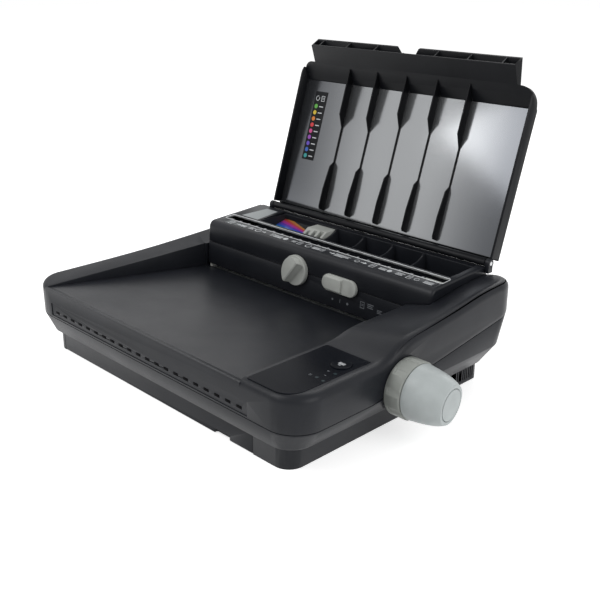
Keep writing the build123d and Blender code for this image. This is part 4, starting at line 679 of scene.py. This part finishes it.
def add_prism(shape: bmesh.types.BMesh, sheet: Sheet, outline: Sequence[Point], low: float,
              high: float) -> None:
    """Adds a straight-sided solid on a sheet, heights in millimetres."""
    bottom = [shape.verts.new(sheet.at(u, v, low)) for u, v in outline]
    top = [shape.verts.new(sheet.at(u, v, high)) for u, v in outline]
    shape.faces.new(top)
    shape.faces.new(bottom[::-1])
    for index in range(len(outline)):
        after = (index + 1) % len(outline)
        shape.faces.new((bottom[index], bottom[after], top[after], top[index]))


def printed(name: str, body: str, finish: Finish, sheet: Sheet, marks: Sequence[Mark],
            lift: float = 0.05, base: float = -0.02) -> bpy.types.Object:
    """Prints pictograms on a sheet.

    Args:
        name: Name of the piece.
        body: Body that it rides on.
        finish: Ink.
        sheet: Where it is printed.
        marks: Pictogram, place and height of each, in millimetres.
        lift: Height of the ink's face off the sheet, in millimetres.
        base: Height of the ink's underside, in millimetres.

    Returns:
        The piece.
    """
    shape = bmesh.new()
    for kind, u, v, size in marks:
        for outline in glyph_outlines(kind):
            add_prism(shape, sheet, [(u + size * x, v + size * y) for x, y in outline], base, lift)
    return to_object(name, shape, finish, body, smooth=False)


@dataclass
class Studio:
    """Camera, lamps, floor and backdrop."""

    place: Vector = Vector((0.6380, -0.5728, 0.3948))
    right: Vector = Vector((0.6975, 0.7166, 0.0))
    up: Vector = Vector((-0.2582, 0.2514, 0.9328))
    lens: float = 54.05
    seen_strength: float = 0.55
    light_strength: float = 0.45
    floor_glow: float = 0.62
    floor_half: float = 6.0

    def build(self) -> None:
        """Sets up everything round the object."""
        self._camera()
        self._lamp("key", (-0.5, -0.9, 1.3), (0.0, 0.0, 0.05), size=0.9, power=9.0)
        self._lamp("side", (1.5, 0.1, 0.7), (0.1, 0.0, 0.05), size=0.9, power=7.5)
        self._lamp("rear", (-0.4, 1.3, 1.3), (0.0, 0.1, 0.15), size=1.0, power=8.0)
        self._floor()
        self._world()
        bpy.context.scene.view_settings.view_transform = "Standard"

    def _camera(self) -> None:
        """Puts the camera at the photograph's view."""
        back = self.right.cross(self.up).normalized()
        turn = Matrix((self.right.normalized(), self.up.normalized(), back)).transposed().to_4x4()
        data = bpy.data.cameras.new("camera")
        data.lens = self.lens
        camera = bpy.data.objects.new("camera", data)
        camera.matrix_world = Matrix.Translation(self.place) @ turn
        bpy.context.scene.collection.objects.link(camera)
        bpy.context.scene.camera = camera

    @staticmethod
    def _lamp(name: str, place: Size, aim: Size, size: float, power: float) -> None:
        """Adds one soft square lamp."""
        data = bpy.data.lights.new(name, "AREA")
        data.size = size
        data.energy = power
        lamp = bpy.data.objects.new(name, data)
        lamp.location = place
        lamp.rotation_mode = "QUATERNION"
        lamp.rotation_quaternion = (Vector(aim) - Vector(place)).to_track_quat("-Z", "Y")
        bpy.context.scene.collection.objects.link(lamp)

    @staticmethod
    def _seen_directly(tree: Tree) -> Value:
        """One for rays from the camera, mirror-like ones and those through glass."""
        path = tree.node("ShaderNodeLightPath", {}, {}).socket.node
        seen = Value(tree, path.outputs["Is Camera Ray"]) | Value(tree, path.outputs["Is Glossy Ray"])
        return seen | Value(tree, path.outputs["Is Transmission Ray"])

    def _floor(self) -> None:
        """Lays a wide pale floor that takes the object's shadow."""
        shape = bmesh.new()
        bmesh.ops.create_grid(shape, x_segments=8, y_segments=8, size=self.floor_half)
        mesh = bpy.data.meshes.new("floor")
        shape.to_mesh(mesh)
        shape.free()
        floor = bpy.data.objects.new("floor", mesh)
        bpy.context.scene.collection.objects.link(floor)
        made = Shader("floor_paper")
        diffuse = made.node("ShaderNodeBsdfDiffuse", {}, {"Color": (0.93, 0.93, 0.93, 1.0)})
        white = (1.0, 1.0, 1.0, 1.0)
        lit = made.node("ShaderNodeEmission", {}, {"Color": white, "Strength": self.floor_glow})
        both = made.node("ShaderNodeAddShader", {}, {0: diffuse, 1: lit})
        bare = made.node("ShaderNodeMixShader", {}, {0: self._seen_directly(made), 1: diffuse, 2: both})
        made.node("ShaderNodeOutputMaterial", {}, {"Surface": bare})
        mesh.materials.append(made.material)

    def _world(self) -> None:
        """White where it is seen, a dim grey as light."""
        world = bpy.data.worlds.new("studio")
        world.use_nodes = True
        world.node_tree.nodes.clear()
        bpy.context.scene.world = world
        tree = Tree(world.node_tree)
        strength = self._seen_directly(tree) * self.seen_strength + self.light_strength
        light = tree.node("ShaderNodeBackground", {}, {"Color": (1.0, 1.0, 1.0, 1.0), "Strength": strength})
        tree.node("ShaderNodeOutputWorld", {}, {"Surface": light})


@dataclass
class Casing:
    """Lower tub, upper shell with the paper tray, and what is set into them."""

    rounding: float = 0.7
    slot_count: int = 21
    slot_middle: Size = (-9.5, -151.25, 47.9)
    slot_size: Size = (6.6, 0.3, 2.7)
    pitch: float = 14.2875
    # Louvre rows: black sheets of painted shade behind the slots
    louvre_count: int = 13
    louvre_start: Size = (177.6, 110.0, 11.5)
    louvre_step: Size = (0.0, -3.0, 0.0)
    louvre_size: Size = (0.4, 1.4, 14.8)

    def build(self, machine: Machine, row: Row) -> None:
        """Builds the shells, the slot pads and the black sheets of painted shade behind the louvre slots."""
        machine.soften("lower_base", Finish.BODY, self.rounding)
        machine.soften("upper_case", Finish.BODY, self.rounding, spared=self.in_tray_joint)
        machine.coat(Finish.BODY, "paper_tray")
        step = Vector((self.pitch, 0, 0)) * MM
        first = Vector(self.slot_middle) * MM - step * ((self.slot_count - 1) / 2)
        row.make("slot_pads", "chassis", Finish.BLACK, self.slot_count, first, step, self.slot_size,
                 bevel=0.1)
        # Black sheets behind the louvre slots are painted shade
        row.make("louvre_painted_shade", "chassis", Finish.BLACK, self.louvre_count, Vector(self.louvre_start) * MM,
                 Vector(self.louvre_step) * MM, self.louvre_size)

    @staticmethod
    def in_tray_joint(point: Vector) -> bool:
        """Whether a point lies on the joint between the upper shell and the tray's floor."""
        front_y, front_z, fall = -152.0, 71.0, 25.3 / 210.0
        floor_z = front_z - fall * (point.y - front_y)
        return -172.2 < point.x < 135.2 and point.y > -146.2 and -3.2 < point.z - floor_z < 0.4

    def dress(self, machine: Machine) -> None:
        """Finishes the small fixed pieces of the casing."""
        machine.soften("dial_bearing", Finish.BODY, 0.6)
        machine.soften("chip_drawer", Finish.BODY, 0.4)
        machine.soften("power_inlet", Finish.BLACK, 0.4)
        machine.soften("switch_body", Finish.BLACK, 0.4)
        machine.soften("switch_rocker", Finish.BLACK, 0.3)
        rocker = machine.body["switch_rocker"]
        to_left = Vector((-1, 0, 0))
        off_side = Sheet(Vector((70.0, 121.22, 7.96)) * MM, to_left, Vector((0, -0.151, 0.988)))
        on_side = Sheet(Vector((70.0, 121.92, 12.91)) * MM, to_left, Vector((0, 0.418, 0.908)))
        printed("rocker_off_mark", rocker, Finish.WHITE, off_side, [(Glyph.LOOP, 0.0, 0.0, 2.8)])
        printed("rocker_on_mark", rocker, Finish.WHITE, on_side, [(Glyph.LINE, 0.0, 0.0, 2.8)])
        machine.coat(Finish.NYLON, "drawer_rails")
        machine.coat(Finish.RUBBER, "base_pads")
        machine.coat(Finish.STEEL, "case_screws")


@dataclass
class Housing:
    """Cover over punch and comb opener, with its plates, trough and gauge."""

    rounding: float = 0.6
    pitch: float = 14.2875
    scale_count: int = 43
    mark_count: int = 26
    mark_start: float = -141.0
    mark_step: float = 11.5
    mark_line: float = 5.8
    mark_height: float = 7.0

    def build(self, machine: Machine, row: Row) -> None:
        """Builds the housing's shells."""
        machine.soften("housing_cover", Finish.BODY, self.rounding)
        machine.soften("front_apron", Finish.BODY, 0.4)
        machine.soften("comb_trough", Finish.BODY, 0.4)
        machine.soften("opener_trim", Finish.STEEL, 0.25)
        machine.soften("instruction_strip", Finish.BODY, 0.2)
        machine.soften("size_gauge_plate", Finish.GAUGE, 0.2)
        machine.soften("gauge_slider", Finish.PALE, 0.6)
        row.make("opener_scale", "chassis", Finish.FAINT, self.scale_count, TOP.at(-147.0, 29.4, 0.02),
                 Vector((self.pitch / 2, 0, 0)) * MM, (0.35, 1.6, 0.08), (math.radians(TOP_LEAN_DEG), 0, 0))

    def dress(self, machine: Machine) -> None:
        """Prints the strip and the apron, and finishes what shows through the slot."""
        order = (Glyph.PAGE, Glyph.ARROW, Glyph.TICKS, Glyph.BARS, Glyph.RING, Glyph.ARROW, Glyph.PAGE,
                 Glyph.TICKS, Glyph.DOT, Glyph.BARS, Glyph.PAGE, Glyph.RING, Glyph.TICKS)
        marks = []
        for index in range(self.mark_count):
            across = self.mark_start + self.mark_step * index + 1.6 * math.sin(index * 2.3)
            height = self.mark_height + 1.2 * math.cos(index * 1.7)
            marks.append((order[index % len(order)], across, self.mark_line, height))
        printed("strip_pictograms", "chassis", Finish.WHITE, TOP, marks, lift=0.16)
        plates = bmesh.new()
        band = rectangle(-149.0, -112.0, 1.3, 10.5)
        patch = [(-152.0, 31.0), (-124.5, 31.0), (-127.0, 66.0), (-146.0, 66.0)]
        add_prism(plates, TOP, band, -0.02, 0.1)
        add_prism(plates, TOP, patch, -0.02, 0.08)
        to_object("label_plates", plates, Finish.PLATE, "chassis", smooth=False)
        printed("apron_pictograms", "chassis", Finish.FAINT, WALL, [
            (Glyph.PAGE, 78.0, 18.0, 7.0), (Glyph.BARS, 89.0, 19.0, 7.0), (Glyph.BARS, 101.0, 16.5, 5.5)])
        printed("slider_marks", "chassis", Finish.FAINT, WALL, [
            (Glyph.DOT, 37.0, 13.5, 2.6), (Glyph.LINE, 47.5, 14.0, 4.0), (Glyph.DOT, 58.0, 13.5, 3.4)])
        machine.coat(Finish.PIN_STEEL, "hook_bar", "opener_pins")
        machine.coat(Finish.DARK_STEEL, "opener_bed", "opener_rack", "opener_bracket")
        machine.soften("comb_end_guides", Finish.PALE, 0.4)


@dataclass
class Lid:
    """Hinged cover with its grey liner, comb ribs and size key."""

    key_x: float = -118.4
    key_low: float = 65.5
    key_step: float = 7.375
    heading_height: float = 134.0
    dots: int = 9

    def build(self, machine: Machine, row: Row) -> None:
        """Builds shell, liner and ribs."""
        machine.soften("lid_shell", Finish.LID, 0.5, flat=0.03)
        machine.soften("lid_liner", Finish.LINER, 0.3)
        machine.soften("lid_fins", Finish.FIN, 0.3)
        machine.soften("lid_hinge_bar", Finish.LID, 0.3)
        machine.soften("comb_key", Finish.LID, 0.1)
        step = LID.at(0, self.key_step) - LID.at(0, 0)
        turn = (math.radians(90 - LID_LEAN_DEG), 0, 0)
        row.make("key_dots", "lid", Finish.KEY_DOTS, self.dots, LID.at(self.key_x - 4.6, self.key_low, -8.55),
                 step, (5.2, 5.2, 0.2), turn, is_round=True)
        row.make("key_bars", "lid", Finish.WHITE, self.dots, LID.at(self.key_x + 3.6, self.key_low, -8.58),
                 step, (6.4, 1.1, 0.12), turn)
        heading = [(Glyph.RING, self.key_x - 4.4, self.heading_height, 6.0),
                   (Glyph.PAGE, self.key_x + 4.0, self.heading_height, 6.5)]
        printed("key_heading", "lid", Finish.WHITE, LID, heading, lift=-8.52, base=-8.64)

    def dress(self, machine: Machine) -> None:
        """Finishes the hinge."""
        machine.soften("hinge_brackets", Finish.BODY, 0.3)
        machine.coat(Finish.STEEL, "hinge_pins")


@dataclass
class Controls:
    """Dial, knob, slider, button and console."""

    button: Point = (176.0, -75.0)

    def build(self, machine: Machine, row: Row) -> None:
        """Builds the pale controls and the glossy console."""
        machine.soften("dial_collar", Finish.COLLAR, 0.6)
        machine.soften("dial_grip", Finish.GRIP, 0.7, angle=28.0)
        machine.soften("dial_cap", Finish.GRIP, 0.3)
        machine.soften("edge_knob", Finish.PALE, 1.1, segments=3)
        machine.soften("depth_slider", Finish.PALE, 0.7)
        machine.soften("punch_button", Finish.CONSOLE, 0.3)
        machine.coat(Finish.CONSOLE, "console_panel")

    def dress(self, machine: Machine) -> None:
        """Prints the console and finishes the lamps."""
        machine.coat(Finish.LENS, "indicator_lenses")
        machine.coat(Finish.STEEL, "dial_shaft")
        x, y = self.button
        printed("console_marks", "chassis", Finish.FAINT, CONSOLE, [
            (Glyph.PAGE, 170.5, -106.0, 2.6), (Glyph.ARROW, 180.0, -98.5, 2.2),
            (Glyph.BARS, 176.5, -91.0, 2.0)])
        printed("button_mark", "punch_button", Finish.WHITE, BUTTON_FACE, [
            (Glyph.TICKS, x, y + 0.8, 4.4), (Glyph.ARROW, x, y - 2.6, 3.0)])


@dataclass(frozen=True)
class Coils:
    """Wound springs in place of a node's plain sleeves."""

    node: str
    joint: str
    travel: float
    wire: float
    turns: int
    steps_per_turn: int = 24
    wire_sides: int = 10
    closed_turns: float = 0.75

    def build(self, machine: Machine) -> None:
        """Winds a spring in each sleeve; sleeves of one node lie on either side of x = 0."""
        shape = bmesh.new()
        points = [vertex.co / MM for vertex in machine.nodes[self.node].data.vertices]
        low, high = min(point.z for point in points), max(point.z for point in points)
        for side in (-1, 1):
            row = [point for point in points if point.x * side > 0]
            if row:
                left, right = min(point.x for point in row), max(point.x for point in row)
                front, rear = min(point.y for point in row), max(point.y for point in row)
                base = Vector(((left + right) / 2, (front + rear) / 2, low))
                self.wind(shape, base, (right - left) / 2, high - low)
        piece = to_object(self.node + "_coils", shape, Finish.STEEL, machine.body[self.node])
        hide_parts(self.node)
        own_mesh(piece)

    def wind(self, shape: bmesh.types.BMesh, base: Vector, outer: float, height: float) -> None:
        """Adds one unbroken wire with closed ends.

        Args:
            shape: Mesh that takes the wire.
            base: Centre of the spring's foot in millimetres.
            outer: Outer radius.
            height: Free height.
        """
        thick = self.wire / 2
        up = Vector((0, 0, 1))
        round_wire = [math.tau * side / self.wire_sides for side in range(self.wire_sides)]
        rings = []
        for step in range(self.turns * self.steps_per_turn + 1):
            turn = step / self.steps_per_turn
            climb = (turn - self.closed_turns) / (self.turns - 2 * self.closed_turns)
            out = Vector((math.cos(math.tau * turn), math.sin(math.tau * turn), 0.0))
            rise = thick + (height - self.wire) * min(max(climb, 0.0), 1.0)
            middle = base + out * (outer - thick) + up * rise
            rings.append([shape.verts.new((middle + (out * math.cos(a) + up * math.sin(a)) * thick) * MM)
                          for a in round_wire])
        for first, second in zip(rings, rings[1:]):
            for side in range(self.wire_sides):
                shape.faces.new((first[side], first[side - 1], second[side - 1], second[side]))
        for end in (rings[0], rings[-1]):
            shape.faces.new(end)


@dataclass
class Works:
    """Punch, drive and electrics inside the housing."""

    springs: tuple[Coils, ...] = (Coils("return_springs", "punch_slide", 8.0, 1.0, 6),
                                  Coils("button_spring", "button_press", 1.2, 1.2, 4))

    def build(self, machine: Machine) -> None:
        """Finishes the nodes of the mechanism."""
        for spring in self.springs:
            spring.build(machine)
        machine.coat(Finish.STEEL, "die_plate", "guide_plate", "guide_rods", "cam_shaft", "cams",
                     "idler_stud")
        machine.coat(Finish.PIN_STEEL, "punch_pins")
        machine.coat(Finish.DARK_STEEL, "punch_frames", "punch_bar", "motor", "depth_stop", "power_supply")
        machine.coat(Finish.NYLON, "cam_gear", "idler_gear", "edge_guide")
        machine.coat(Finish.BRASS, "motor_pinion", "shaft_bushes")
        machine.coat(Finish.BOARD, "control_board")


def main() -> None:
    """Builds every sub-assembly in order."""
    logging.basicConfig(level=logging.INFO, format="%(name)s: %(message)s")
    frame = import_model()
    machine = Machine(frame)
    row = Row()
    Studio().build()
    for part in (Casing(), Housing(), Lid(), Controls()):
        part.build(machine, row)
        part.dress(machine)
        log.info("built %s", type(part).__name__)
    Works().build(machine)
    log.info("built Works")


if __name__ == "__main__":
    main()
